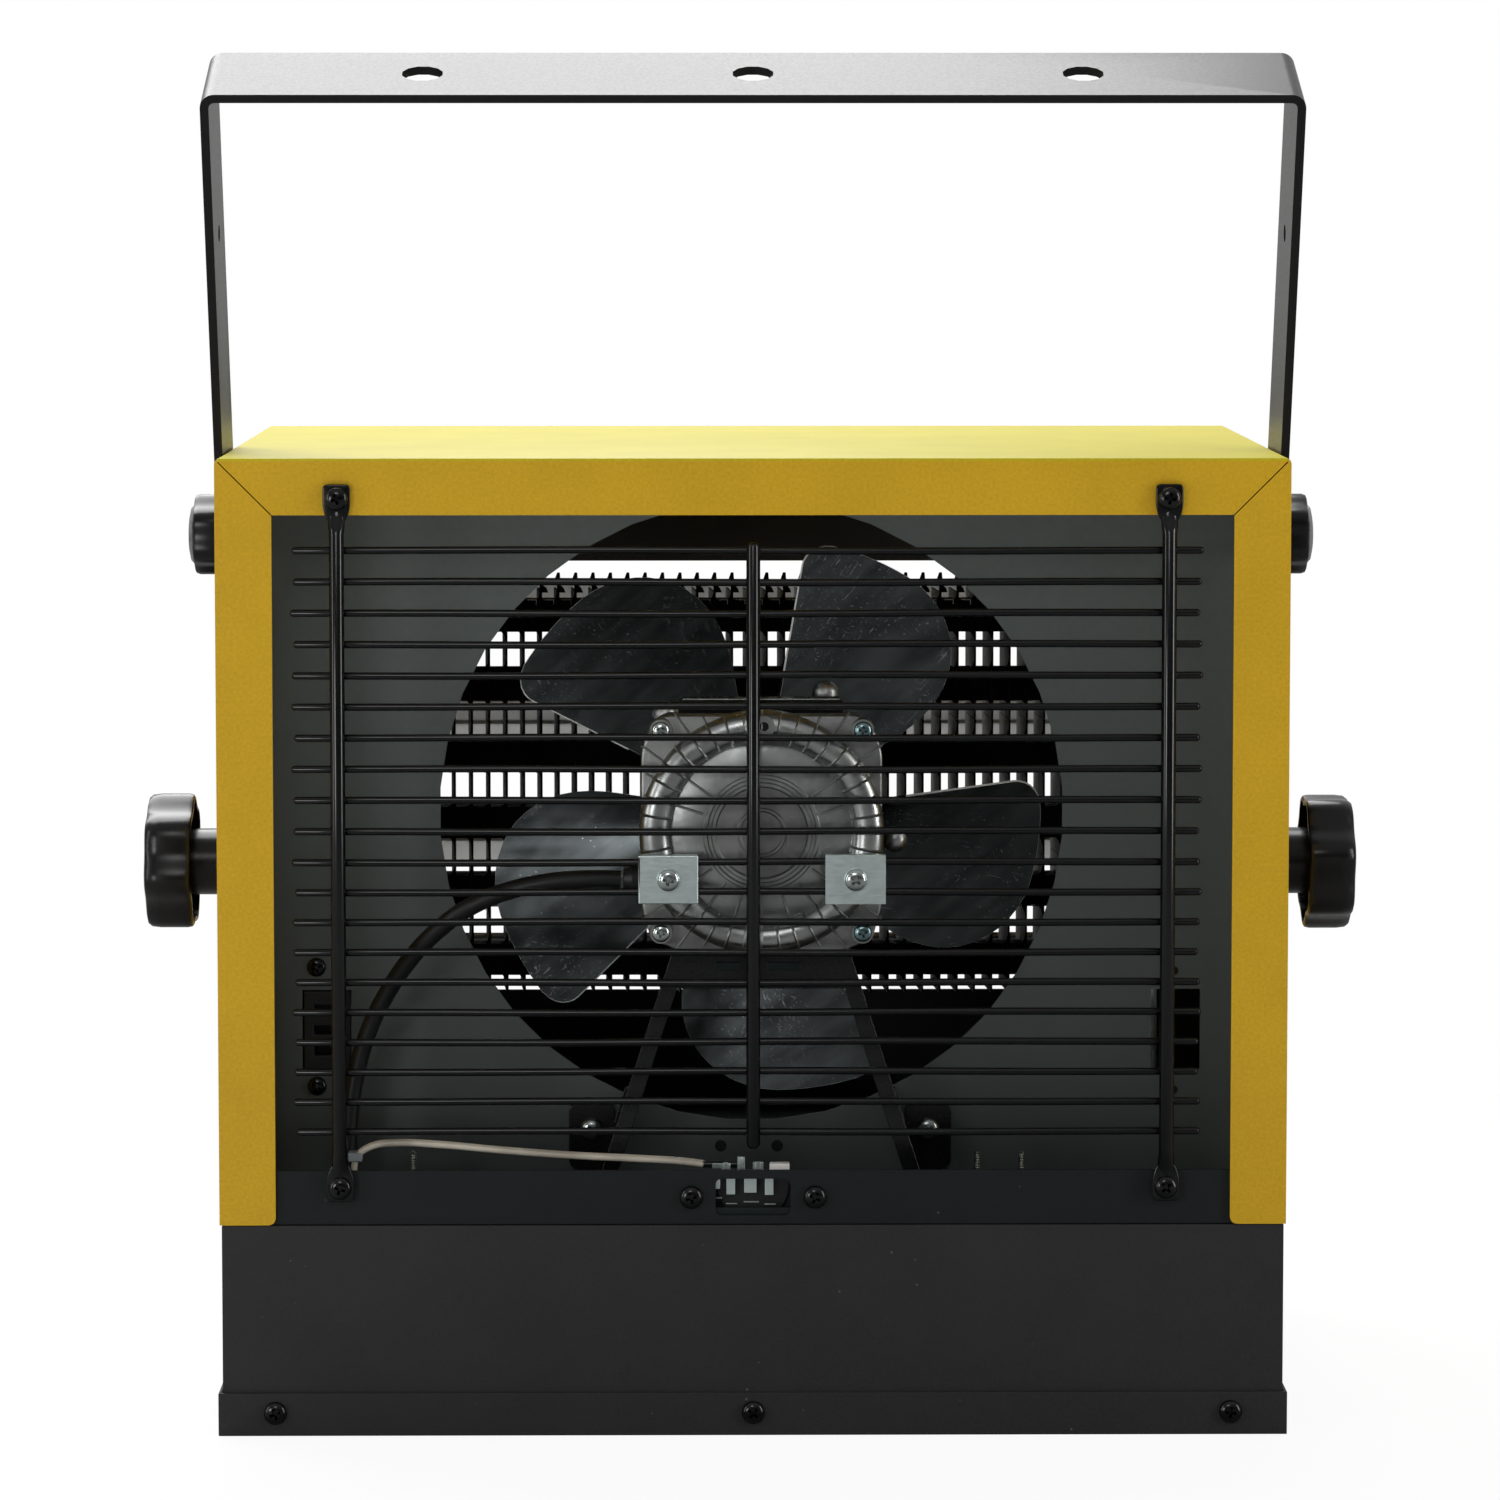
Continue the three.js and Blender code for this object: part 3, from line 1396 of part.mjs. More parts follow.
function addShell(heater) {
  addPiece(heater, 'outer_casing', outerCasing(), 'yellow');
  addPiece(heater, 'fan_panel', fanPanel(), 'panelGrey');
  addPiece(heater, 'chassis_deck', chassisDeck(), 'boxBlack');
  addPiece(heater, 'control_box', controlBox(), 'boxBlack');
  addPiece(heater, 'base_tray', baseTray(), 'boxBlack');
  trayScrewPlaces().forEach((x, i) => {
    const name = `tray_screw_${['left', 'centre', 'right'][i]}`;
    const face = -(boxHalfDepth + seatGap + traySheet);
    addPiece(heater, name, panScrew(), 'guardBlack', [x, face, trayScrewLevel()]);
  });
}

function addGuard(heater) {
  addPiece(heater, 'wire_guard', wireGuard(), 'guardBlack');
  const face = rearY - seatGap - eyeletSheet;
  for (const [side, hand] of [[-1, 'left'], [1, 'right']]) {
    const x = (side * rodSpan) / 2;
    addPiece(heater, `guard_screw_top_${hand}`, panScrew(), 'guardBlack', [x, face, topEyeletLevel]);
    addPiece(heater, `guard_screw_bottom_${hand}`, panScrew(), 'guardBlack', [x, face, bottomEyeletLevel]);
    const clipX = fanShift + (side * clipSpan) / 2;
    const clipFace = wireY - wireRadius - seatGap - clipSheet;
    addPiece(heater, `guard_clip_${hand}`, guardClip(), 'zinc', [clipX, 0, clipScrewLevel()]);
    addPiece(heater, `clip_screw_${hand}`, panScrew(), 'zinc', [clipX, clipFace, clipScrewLevel()]);
  }
}

function addMotor(heater) {
  const axis = [fanShift, 0, fanLevel];
  addPiece(heater, 'motor_rear_bell', motorRearBell(), 'castAluminium', axis);
  addPiece(heater, 'motor_stator', motorStator(), 'steel', axis);
  addPiece(heater, 'motor_front_bell', motorFrontBell(), 'castAluminium', axis);
  addPiece(heater, 'motor_stand', motorStand(), 'boxBlack', axis);
  addPiece(heater, 'motor_shaft', motorShaft(), 'steel', axis);
  addPiece(heater, 'fan', fan(), 'fanAluminium', axis);
  addPiece(heater, 'motor_gland', motorGland(), 'rubber');
  addPiece(heater, 'motor_cable', motorCable(), 'rubber');
  addPiece(heater, 'cable_grommet', cableGrommet(), 'rubber');
  for (const [side, hand] of [[-1, 'left'], [1, 'right']]) {
    const footFace = panelY - seatGap - standSheet;
    const place = [fanShift + side * footReach, footFace, standScrewLevel];
    addPiece(heater, `stand_screw_${hand}`, panScrew(), 'zinc', place);
  }
}

function addHeat(heater) {
  ['top', 'middle', 'bottom'].forEach((name, i) => {
    const place = [0, 0, elementLevels()[i]];
    addPiece(heater, `heating_element_${name}`, heatingElement(i === 0), 'finBlack', place);
  });
  addPiece(heater, 'element_end_plate_left', elementEndPlate(-1), 'zinc');
  addPiece(heater, 'element_end_plate_right', elementEndPlate(1), 'zinc');
}

function addOutlet(heater) {
  addPiece(heater, 'front_panel', frontPanel(), 'boxBlack');
  louverLevels().forEach((level, i) => {
    const mesh = addPiece(heater, `louver_${i + 1}`, louver(), 'boxBlack', [0, louverY, level]);
    mesh.rotation.x = (-louverTiltAngle * Math.PI) / 180;
  });
}

function addElectrics(heater) {
  addPiece(heater, 'limit_bracket', limitBracket(), 'zinc');
  addPiece(heater, 'limit_switch', limitSwitch(), 'plastic');
  addPiece(heater, 'limit_lead_rear', limitLead(-1 / 2), 'lead');
  addPiece(heater, 'limit_lead_front', limitLead(1 / 2), 'lead');
  addPiece(heater, 'panel_socket', panelSocket(), 'plastic');
  for (const [side, hand] of [[-1, 'left'], [1, 'right']]) {
    const place = [(side * ledgeScrewSpan) / 2, ledgeFrontY, windowLevel()];
    addPiece(heater, `ledge_screw_${hand}`, panScrew(), 'guardBlack', place);
  }
}

function addControls(heater) {
  const face = boxHalfDepth + seatGap;
  const [left, right] = [-controlSpan / 2, controlSpan / 2];
  const thermostat = controlBody(thermostatSize, thermostatDepth);
  const selector = controlBody(selectorSize, selectorDepth);
  addPiece(heater, 'thermostat_body', thermostat, 'plastic', [left, 0, controlLevel]);
  addPiece(heater, 'selector_body', selector, 'plastic', [right, 0, controlLevel]);
  addPiece(heater, 'thermostat_knob', controlKnob(), 'plastic', [left, face, controlLevel]);
  addPiece(heater, 'selector_knob', controlKnob(), 'plastic', [right, face, controlLevel]);
  addPiece(heater, 'terminal_block', terminalBlock(), 'plastic', [supplyX / 2, supplyY / 2, 0]);
  addPiece(heater, 'supply_grommet', supplyGrommet(), 'rubber');
}

function addYoke(heater) {
  const lean = new THREE.Group();
  lean.position.z = pivotLevel;
  lean.rotation.x = (yokeLeanAngle * Math.PI) / 180;
  heater.add(lean);
  addPiece(lean, 'mounting_bracket', yoke(), 'yokeBlack');
  for (const [side, hand] of [[-1, 'left'], [1, 'right']]) {
    const turn = side > 0 ? 0 : Math.PI;
    const face = side * (armOuter + seatGap);
    const [pivot, lock] = [[face, 0, pivotLevel], [face, 0, lockReach]];
    const pivotStud = stud(pivotStudRadius, pivotStudInside);
    const lockStud = stud(lockStudRadius, lockStudInside);
    const pieces = [
      addPiece(heater, `pivot_knob_${hand}`, pivotKnob(), 'plastic', pivot),
      addPiece(heater, `pivot_stud_${hand}`, pivotStud, 'zinc', pivot),
      addPiece(lean, `lock_knob_${hand}`, lockKnob(), 'plastic', lock),
      addPiece(lean, `lock_stud_${hand}`, lockStud, 'zinc', lock),
    ];
    pieces.forEach((mesh) => {
      mesh.rotation.z = turn;
    });
  }
}

const heater = new THREE.Group();
addShell(heater);
addGuard(heater);
addMotor(heater);
addHeat(heater);
addOutlet(heater);
addElectrics(heater);
addControls(heater);
addYoke(heater);

export default heater;
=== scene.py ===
"""Surface and finish of a fan-forced garage heater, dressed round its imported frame.

The intake side faces -Y, the outlet faces +Y and the base tray stands on Z = 0. Lengths in the
classes are millimetres unless their names end in _m; the meshes are in metres.
"""
import json
import logging
import math
from dataclasses import dataclass, field
from enum import Enum
from typing import Sequence, Union

import bmesh
import bpy
from bmesh.types import BMesh, BMEdge, BMVert
from mathutils import Matrix, Vector

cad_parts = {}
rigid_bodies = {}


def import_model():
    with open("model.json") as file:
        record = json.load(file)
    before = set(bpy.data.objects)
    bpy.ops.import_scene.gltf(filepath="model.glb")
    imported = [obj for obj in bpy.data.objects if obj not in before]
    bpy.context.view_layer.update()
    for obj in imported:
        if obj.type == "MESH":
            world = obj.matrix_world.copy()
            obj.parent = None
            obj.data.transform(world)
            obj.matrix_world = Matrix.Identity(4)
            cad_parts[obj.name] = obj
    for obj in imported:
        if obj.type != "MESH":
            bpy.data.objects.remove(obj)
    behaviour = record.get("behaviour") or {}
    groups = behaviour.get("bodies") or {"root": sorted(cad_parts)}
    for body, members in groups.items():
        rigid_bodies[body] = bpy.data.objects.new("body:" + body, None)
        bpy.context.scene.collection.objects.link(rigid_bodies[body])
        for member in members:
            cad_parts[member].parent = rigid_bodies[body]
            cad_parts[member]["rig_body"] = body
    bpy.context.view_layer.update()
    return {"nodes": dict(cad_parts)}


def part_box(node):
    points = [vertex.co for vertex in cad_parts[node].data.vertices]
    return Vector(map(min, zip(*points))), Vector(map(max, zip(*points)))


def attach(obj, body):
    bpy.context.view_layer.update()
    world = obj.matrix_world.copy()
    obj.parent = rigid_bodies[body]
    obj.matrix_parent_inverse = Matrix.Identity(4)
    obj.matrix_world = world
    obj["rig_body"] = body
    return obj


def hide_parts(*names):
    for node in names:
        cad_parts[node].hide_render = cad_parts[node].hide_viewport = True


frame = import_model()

MM = 0.001
HANDS = (("left", -1), ("right", 1))
HEATER = "heater_body"
LOG = logging.getLogger("heater")
Socket = bpy.types.NodeSocket
Colour = tuple[float, float, float]


def srgb(red: int, green: int, blue: int) -> Colour:
    """A display colour as linear shader values.

    Args:
        red, green, blue: 0 to 255, as seen on a screen.
    Returns:
        The same colour in linear light.
    """
    return tuple((c / 255 / 12.92) if c < 11 else ((c / 255 + 0.055) / 1.055) ** 2.4
                 for c in (red, green, blue))


DUST = srgb(150, 150, 146)
BRIGHT_NICK = srgb(170, 174, 176)
FLOOR_PALE: Colour = (0.86, 0.86, 0.86)
FLOOR_MIRRORED: Colour = (0.2, 0.2, 0.2)


class Value:
    """A number on a shader socket; Python's operators on it add Math nodes."""

    def __init__(self, graph: "Graph", socket: Socket) -> None:
        """Wraps a socket of a graph."""
        self.graph = graph
        self.socket = socket

    def _math(self, operation: str, first: "Number", second: "Number") -> "Value":
        """Adds a Math node on two numbers and returns its result."""
        node = self.graph.node("ShaderNodeMath", {"operation": operation}, {0: first, 1: second})
        return Value(self.graph, node.outputs[0])

    def __add__(self, other: "Number") -> "Value":
        """Sum."""
        return self._math("ADD", self, other)

    __radd__ = __add__

    def __mul__(self, other: "Number") -> "Value":
        """Product."""
        return self._math("MULTIPLY", self, other)

    __rmul__ = __mul__

    def __sub__(self, other: "Number") -> "Value":
        """Difference."""
        return self._math("SUBTRACT", self, other)

    def __rsub__(self, other: "Number") -> "Value":
        """Difference with the sides changed."""
        return self._math("SUBTRACT", other, self)

    def __pow__(self, other: "Number") -> "Value":
        """Power."""
        return self._math("POWER", self, other)


Number = Union[Value, float]


class Graph:
    """The node tree of one material or of the world."""

    def __init__(self, owner: Union[bpy.types.Material, bpy.types.World]) -> None:
        """Empties the owner's tree.

        Args:
            owner: the material or world whose tree it is.
        """
        owner.use_nodes = True
        self.tree = owner.node_tree
        self.tree.nodes.clear()

    def node(self, kind: str, settings: dict = None, inputs: dict = None) -> bpy.types.Node:
        """Adds a node.

        Args:
            kind: the node's type name.
            settings: attributes to set first.
            inputs: socket name or index to a value, a Value or a socket.
        Returns:
            The new node.
        """
        made = self.tree.nodes.new(kind)
        for name, value in (settings or {}).items():
            setattr(made, name, value)
        for key, value in (inputs or {}).items():
            source = value.socket if isinstance(value, Value) else value
            if isinstance(source, bpy.types.NodeSocket):
                self.tree.links.new(source, made.inputs[key])
            else:
                made.inputs[key].default_value = source
        return made

    def place(self, stretch: Sequence[float] = (1, 1, 1), turn: Sequence[float] = (0, 0, 0)) -> Socket:
        """Takes object coordinates, turned and then stretched along the axes.

        Args:
            stretch: factors along the axes, after the turn.
            turn: angles about the axes, in radians.
        Returns:
            The coordinates' socket.
        """
        where = self.node("ShaderNodeTexCoord").outputs["Object"]
        turned_way = self.node("ShaderNodeMapping", None, {"Vector": where, "Rotation": turn}).outputs[0]
        return self.node("ShaderNodeMapping", None, {"Vector": turned_way, "Scale": stretch}).outputs[0]

    def noise(self, scale: float, detail: float = 3, stretch: Sequence[float] = (1, 1, 1),
              turn: Sequence[float] = (0, 0, 0)) -> Value:
        """Adds a noise texture.

        Args:
            scale: how many features there are in a metre.
            detail: how many finer layers are added.
            stretch: factors along the axes.
            turn: angles about the axes, in radians.
        Returns:
            A number that is about 0.5 on average.
        """
        node = self.node("ShaderNodeTexNoise", None,
                         {"Vector": self.place(stretch, turn), "Scale": scale, "Detail": detail})
        return Value(self, node.outputs["Fac"])

    def height(self) -> Value:
        """The height over the ground, in metres."""
        return Value(self, self.node("ShaderNodeSeparateXYZ", None, {0: self.place()}).outputs[2])

    def cells(self, scale: float) -> Value:
        """Distance to the nearest of scattered points."""
        node = self.node("ShaderNodeTexVoronoi", None, {"Vector": self.place(), "Scale": scale})
        return Value(self, node.outputs["Distance"])

    def spread(self, value: Value, low: float, high: float, to_low: float = 0.0,
               to_high: float = 1.0) -> Value:
        """Maps a number from one range to another, with clamped ends.

        Args:
            value: the number.
            low: start of its range.
            high: end of its range.
            to_low: what the start becomes.
            to_high: what the end becomes.
        Returns:
            The mapped number.
        """
        node = self.node("ShaderNodeMapRange", {"clamp": True}, {
            "Value": value, "From Min": low, "From Max": high, "To Min": to_low, "To Max": to_high})
        return Value(self, node.outputs["Result"])

    def blend(self, factor: Number, low: Union[Colour, Socket], high: Union[Colour, Socket]) -> Socket:
        """Mixes two colours by a number.

        Args:
            factor: 0 for the first colour, 1 for the second.
            low: the first colour.
            high: the second colour.
        Returns:
            The mixed colour's socket.
        """
        ends = [(*c, 1.0) if isinstance(c, tuple) else c for c in (low, high)]
        node = self.node("ShaderNodeMix", {"data_type": "RGBA"}, {0: factor, 6: ends[0], 7: ends[1]})
        return node.outputs[2]

    def bump(self, height: Value, strength: float, distance: float) -> Socket:
        """Bumps the normal by a height.

        Args:
            height: the surface's height, 0 to 1.
            strength: how much it shows.
            distance: how deep it is, in metres.
        Returns:
            The normal's socket.
        """
        inputs = {"Height": height, "Strength": strength, "Distance": distance}
        return self.node("ShaderNodeBump", None, inputs).outputs[0]


@dataclass(frozen=True)
class Finish:
    """What every finish has: a name, a colour and how rough it is."""

    name: str
    colour: Colour
    roughness: float

    def material(self) -> bpy.types.Material:
        """Makes the finish's material, once.

        Returns:
            The material, with its shader dressed.
        """
        if self.name in bpy.data.materials:
            return bpy.data.materials[self.name]
        made = bpy.data.materials.new(self.name)
        graph = Graph(made)
        shader = graph.node("ShaderNodeBsdfPrincipled")
        graph.node("ShaderNodeOutputMaterial", None, {"Surface": shader.outputs[0]})
        shader.inputs["Base Color"].default_value = (*self.colour, 1)
        shader.inputs["Roughness"].default_value = self.roughness
        self.dress(graph, shader)
        made.diffuse_color = (*self.colour, 1)
        return made

    def dress(self, graph: Graph, shader: bpy.types.Node) -> None:
        """Links the finish's patterns to the shader; a plain finish has none."""


def link(graph: Graph, shader: bpy.types.Node, **sockets: Union[Value, Socket]) -> None:
    """Links values to the shader's sockets, whose spaces are written as underscores.

    Args:
        graph: the material's tree.
        shader: its main node.
        sockets: what to link, by the name of the shader's socket.
    """
    for name, value in sockets.items():
        source = value.socket if isinstance(value, Value) else value
        graph.tree.links.new(source, shader.inputs[name.replace("_", " ")])


def shade(colour: Colour, factor: float) -> Colour:
    """A colour made lighter or darker."""
    return tuple(min(1.0, c * factor) for c in colour)


@dataclass(frozen=True)
class PowderCoat(Finish):
    """Baked paint with a fine orange peel, mottled a little, with dust specks.

    It may carry painted shade that darkens it towards its foot, and a painted light colour on its lid, above
    a height.
    """

    mottle: float = 0.12
    grain: float = 900
    peel: float = 0.25
    gloss: float = 0.5
    speck: float = 0.0
    # painted shade: the paint is made darker towards its foot, where less light reaches
    foot_shade_span_m: tuple[float, float] = (0.0, 0.0)
    foot_share: float = 1.0
    # painted light: the lid takes a lighter, more lemon colour that stands for the strong light on the top
    # face
    lid_light_span_m: tuple[float, float] = (0.0, 0.0)
    lid: Colour | None = None

    def dress(self, graph: Graph, shader: bpy.types.Node) -> None:
        """Mottles the colour and roughness, adds the peel, and paints shade towards the foot and light on
        the lid where these are set.

        Args:
            graph: the material's tree.
            shader: its main node.
        """
        shader.inputs["Specular IOR Level"].default_value = self.gloss
        fine = graph.noise(self.grain, 4)
        broad = graph.noise(self.grain / 30, 2)
        patch = graph.spread(fine * 0.7 + broad * 0.3, 0.35, 0.65)
        colour = graph.blend(patch, shade(self.colour, 1 - self.mottle), shade(self.colour, 1 + self.mottle))
        # painted shade, darker towards the foot
        if self.foot_share < 1:
            shade_fade = graph.spread(graph.height(), *self.foot_shade_span_m)
            colour = graph.blend(shade_fade, shade(self.colour, self.foot_share), colour)
        # painted light: a lighter, more lemon colour on the lid
        if self.lid:
            lit = graph.blend(patch, shade(self.lid, 1 - self.mottle), shade(self.lid, 1 + self.mottle))
            colour = graph.blend(graph.spread(graph.height(), *self.lid_light_span_m), colour, lit)
        if self.speck:
            dust = graph.spread(graph.cells(self.grain / 6), 0.05, 0.09, 1, 0)
            rare = graph.spread(graph.noise(self.grain / 20, 1), 0.6, 0.66)
            colour = graph.blend(dust * rare * self.speck, colour, DUST)
        rough = graph.spread(fine, 0.3, 0.7, self.roughness * 0.9, self.roughness * 1.12)
        link(graph, shader, Base_Color=colour, Roughness=rough, Normal=graph.bump(fine, self.peel, 0.2 * MM))


@dataclass(frozen=True)
class BareMetal(Finish):
    """Uncoated metal with rolling or casting marks, stains and small scratches."""

    marks: tuple[float, float, float] = (1, 1, 1)
    scale: float = 500
    stain: float = 0.25
    scratch: float = 0.3
    bumpiness: float = 0.3

    def dress(self, graph: Graph, shader: bpy.types.Node) -> None:
        """Stains the colour, varies the roughness and scratches the surface.

        Args:
            graph: the material's tree.
            shader: its main node.
        """
        shader.inputs["Metallic"].default_value = 1.0
        grain = graph.noise(self.scale, 5, self.marks)
        cloud = graph.noise(45, 4)
        stain = graph.spread(cloud, 0.35, 0.7)
        colour = graph.blend(stain, self.colour, shade(self.colour, 1 - self.stain))
        line = graph.noise(260, 2, (9, 0.6, 0.6))
        other = graph.noise(240, 2, (0.6, 0.6, 8))
        nick = graph.spread(line, 0.7, 0.74) + graph.spread(other, 0.71, 0.75)
        colour = graph.blend(nick * self.scratch, colour, shade(self.colour, 1.8))
        wear = grain * 0.6 + cloud * 0.4
        rough = graph.spread(wear, 0.3, 0.7, self.roughness * 0.75, self.roughness * 1.35)
        normal = graph.bump(grain, self.bumpiness, 0.15 * MM)
        link(graph, shader, Base_Color=colour, Roughness=rough, Normal=normal)


@dataclass(frozen=True)
class PressedSheet(Finish):
    """Rolled sheet pressed into a blade: soft diagonal bands of painted reflection, faint clouds and a few
    fine scratches.
    """

    # strength of the diagonal bands of painted reflection
    bands: float = 0.45
    flecks: float = 0.7

    def dress(self, graph: Graph, shader: bpy.types.Node) -> None:
        """Paints diagonal reflection bands and faint clouds into the colour, and scratches it here and
        there.

        Args:
            graph: the material's tree.
            shader: its main node.
        """
        shader.inputs["Metallic"].default_value = 1.0
        # painted reflection: diagonal bands that stand for the reflected guard wires, with a little real
        # cloud mixed in
        reflection_slant = graph.noise(40, 2, (0.7, 0.4, 3.4), (0, math.radians(38), 0))
        cloud = graph.noise(70, 5)
        tone = graph.spread(reflection_slant * 0.85 + cloud * 0.15, 0.38, 0.62)
        colour = graph.blend(tone, shade(self.colour, 1 - self.bands), shade(self.colour, 1 + self.bands))
        rare = graph.spread(graph.noise(24, 2), 0.48, 0.58)
        lines = [graph.spread(graph.noise(170, 1, (10, 10, 0.7), (0, math.radians(turn), 0)), 0.7, 0.73)
                 for turn in (25, 80, 140)]
        nick = (lines[0] + lines[1] + lines[2]) * rare
        dots = graph.spread(graph.cells(480), 0.1, 0.17, 1, 0) * graph.spread(graph.noise(60, 2), 0.54, 0.6)
        colour = graph.blend((nick + dots) * self.flecks, colour, BRIGHT_NICK)
        rough = graph.spread(cloud, 0.3, 0.7, self.roughness * 0.8, self.roughness * 1.4)
        link(graph, shader, Base_Color=colour, Roughness=rough, Normal=graph.bump(reflection_slant, 0.05, 0.3 * MM))


@dataclass(frozen=True)
class Moulded(Finish):
    """Moulded plastic or rubber with a light grain and rubbed patches."""

    grain: float = 1500
    depth: float = 0.2
    gloss: float = 0.5

    def dress(self, graph: Graph, shader: bpy.types.Node) -> None:
        """Adds the grain and uneven gloss.

        Args:
            graph: the material's tree.
            shader: its main node.
        """
        shader.inputs["Specular IOR Level"].default_value = self.gloss
        fine = graph.noise(self.grain, 2)
        broad = graph.noise(60, 3)
        colour = graph.blend(graph.spread(broad, 0.4, 0.7), self.colour, shade(self.colour, 1.5))
        rough = graph.spread(broad, 0.3, 0.7, self.roughness * 0.8, self.roughness * 1.2)
        normal = graph.bump(fine, self.depth, 0.1 * MM)
        link(graph, shader, Base_Color=colour, Roughness=rough, Normal=normal)


# the casing's top face carries painted light, a lemon colour above the lid height
YELLOW = PowderCoat("yellow_coat", srgb(188, 149, 28), 0.44, mottle=0.1, grain=900, peel=0.25, gloss=0.16,
                    lid_light_span_m=(0.3388, 0.3397), lid=srgb(176, 165, 22))
BOX_BLACK = PowderCoat("box_coat", srgb(42, 42, 42), 0.6, mottle=0.14, grain=1100, peel=0.35,
                       gloss=0.25, speck=0.25)
DECK_BLACK = PowderCoat("deck_coat", srgb(22, 27, 28), 0.5, mottle=0.1, grain=1000, peel=0.2,
                        gloss=0.25, speck=0.15)
GUARD_BLACK = PowderCoat("guard_coat", srgb(6, 7, 8), 0.17, mottle=0.1, grain=300, peel=0.03, gloss=0.5)
YOKE_BLACK = PowderCoat("yoke_coat", srgb(18, 18, 19), 0.34, mottle=0.1, grain=900, peel=0.12, gloss=0.29)
STAND_BLACK = PowderCoat("stand_coat", srgb(15, 16, 17), 0.26, mottle=0.1, grain=500, peel=0.02, gloss=0.5)
# the fan panel carries painted shade, darker towards its foot
PANEL_GREY = PowderCoat("panel_coat", srgb(94, 102, 100), 0.46, mottle=0.05, grain=420, peel=0.1, gloss=0.45,
                        foot_shade_span_m=(0.11, 0.3), foot_share=0.62)
LOUVER_GREY = PowderCoat("louver_coat", srgb(192, 192, 190), 0.5, mottle=0.04, grain=700, peel=0.1)
CASTING = BareMetal("casting", srgb(188, 191, 189), 0.37, scale=420, stain=0.45, scratch=0.35, bumpiness=0.2)
CAST_RING = BareMetal("cast_ring", srgb(190, 193, 191), 0.31, scale=420, stain=0.35, scratch=0.3,
                      bumpiness=0.12)
# the blades' bands are painted reflection
BLADE_METAL = PressedSheet("blade_metal", srgb(90, 95, 96), 0.17, bands=0.32, flecks=1.0)
ZINC = BareMetal("zinc_plate", srgb(238, 253, 250), 0.36, marks=(1, 1, 6), scale=300, stain=0.1,
                 scratch=0.08, bumpiness=0.08)
BLUE_ZINC = BareMetal("blue_zinc", srgb(140, 166, 170), 0.22, scale=900, stain=0.2, scratch=0.1)
SCREW_ZINC = BareMetal("screw_zinc", srgb(205, 214, 212), 0.2, scale=900, stain=0.2, scratch=0.1)
RIVET = BareMetal("rivet_alloy", srgb(214, 216, 215), 0.34, scale=900, stain=0.2, scratch=0.1)
CAST_HUB = BareMetal("cast_hub", srgb(170, 172, 170), 0.4, scale=420, stain=0.4, scratch=0.3, bumpiness=0.2)
STEEL = BareMetal("bare_steel", srgb(150, 150, 148), 0.35, marks=(1, 12, 1), scale=500, stain=0.3)
FIN_STEEL = BareMetal("fin_steel", srgb(30, 29, 28), 0.6, marks=(1, 1, 4), scale=400, stain=0.4, scratch=0.1)
# painted light: a lit copy of the fin steel for the fin faces turned to -X
FIN_SIDE_LIT = BareMetal("fin_side_lit", srgb(150, 149, 145), 0.6, marks=(1, 1, 4), scale=400, stain=0.3,
                     scratch=0.1)
SLATE = BareMetal("slate_steel", srgb(62, 68, 70), 0.4, scale=500)
FIN_LIP = BareMetal("fin_lip", srgb(200, 198, 192), 0.25, scale=600)
TUBE_BLACK = PowderCoat("tube_scale", srgb(14, 13, 13), 0.6, mottle=0.25, grain=600, peel=0.3, gloss=0.25)
KNOB_BLACK = Moulded("knob_plastic", srgb(11, 11, 12), 0.25, depth=0.05, gloss=0.4)
# painted highlight: near-white matt finish for the blades' lit cut edges
BLADE_EDGE_HIGHLIGHT = Moulded("blade_edge_highlight", srgb(236, 240, 241), 0.35)
CAP_GREY = Moulded("cap_plastic", srgb(96, 98, 100), 0.3)
PART_BLACK = Moulded("part_plastic", srgb(17, 18, 20), 0.5)
RUBBER = Moulded("cable_rubber", srgb(15, 16, 18), 0.42, grain=700)
SLEEVE = Moulded("clear_sleeve", srgb(34, 37, 38), 0.2)
SILICONE = Moulded("silicone", srgb(214, 205, 188), 0.42)
TIE_GREY = Moulded("tie_nylon", srgb(150, 157, 162), 0.4)
CERAMIC = Moulded("ceramic", srgb(250, 246, 238), 0.5)
# near-black: painted shade for the holes, and the dark of the casing's mitre joints
HOLE_SHADE_AND_JOINT = Moulded("hole_shade_and_joint", srgb(4, 4, 4), 0.8)


class Slot(Enum):
    """The record's material slots."""

    CASING = "casing_yellow"
    PANEL = "panel_grey"
    GUARD = "guard_black"
    CAST = "cast_aluminium"
    FAN = "fan_aluminium"
    ZINC = "zinc"
    STEEL = "steel"
    FINS = "fin_black"
    PLASTIC = "black_plastic"
    RUBBER = "black_rubber"
    LEAD = "cream_lead"
    BOX = "box_black"
    YOKE = "yoke_black"


class Axis(Enum):
    """Which way a turned or round shape points: turns that carry +Z there."""

    X = Matrix.Rotation(math.pi / 2, 4, "Y")
    LEFT = Matrix.Rotation(-math.pi / 2, 4, "Y")
    Y = Matrix.Rotation(-math.pi / 2, 4, "X")
    REAR = Matrix.Rotation(math.pi / 2, 4, "X")


def at(x: float, y: float, z: float) -> Matrix:
    """A shift by a place in millimetres."""
    return Matrix.Translation(Vector((x, y, z)) * MM)


def enrolled(piece: bpy.types.Object, body: str, nodes: Sequence[str]) -> bpy.types.Object:
    """Puts a piece in the scene on its body and hides the frame's nodes that it stands for.

    Args:
        piece: the new object.
        body: the body that it rides on.
        nodes: the frame's nodes that it stands for.
    Returns:
        The same object.
    """
    bpy.context.scene.collection.objects.link(piece)
    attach(piece, body)
    if nodes:
        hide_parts(*nodes)
    LOG.info("%s: rides on %s", piece.name, body)
    return piece


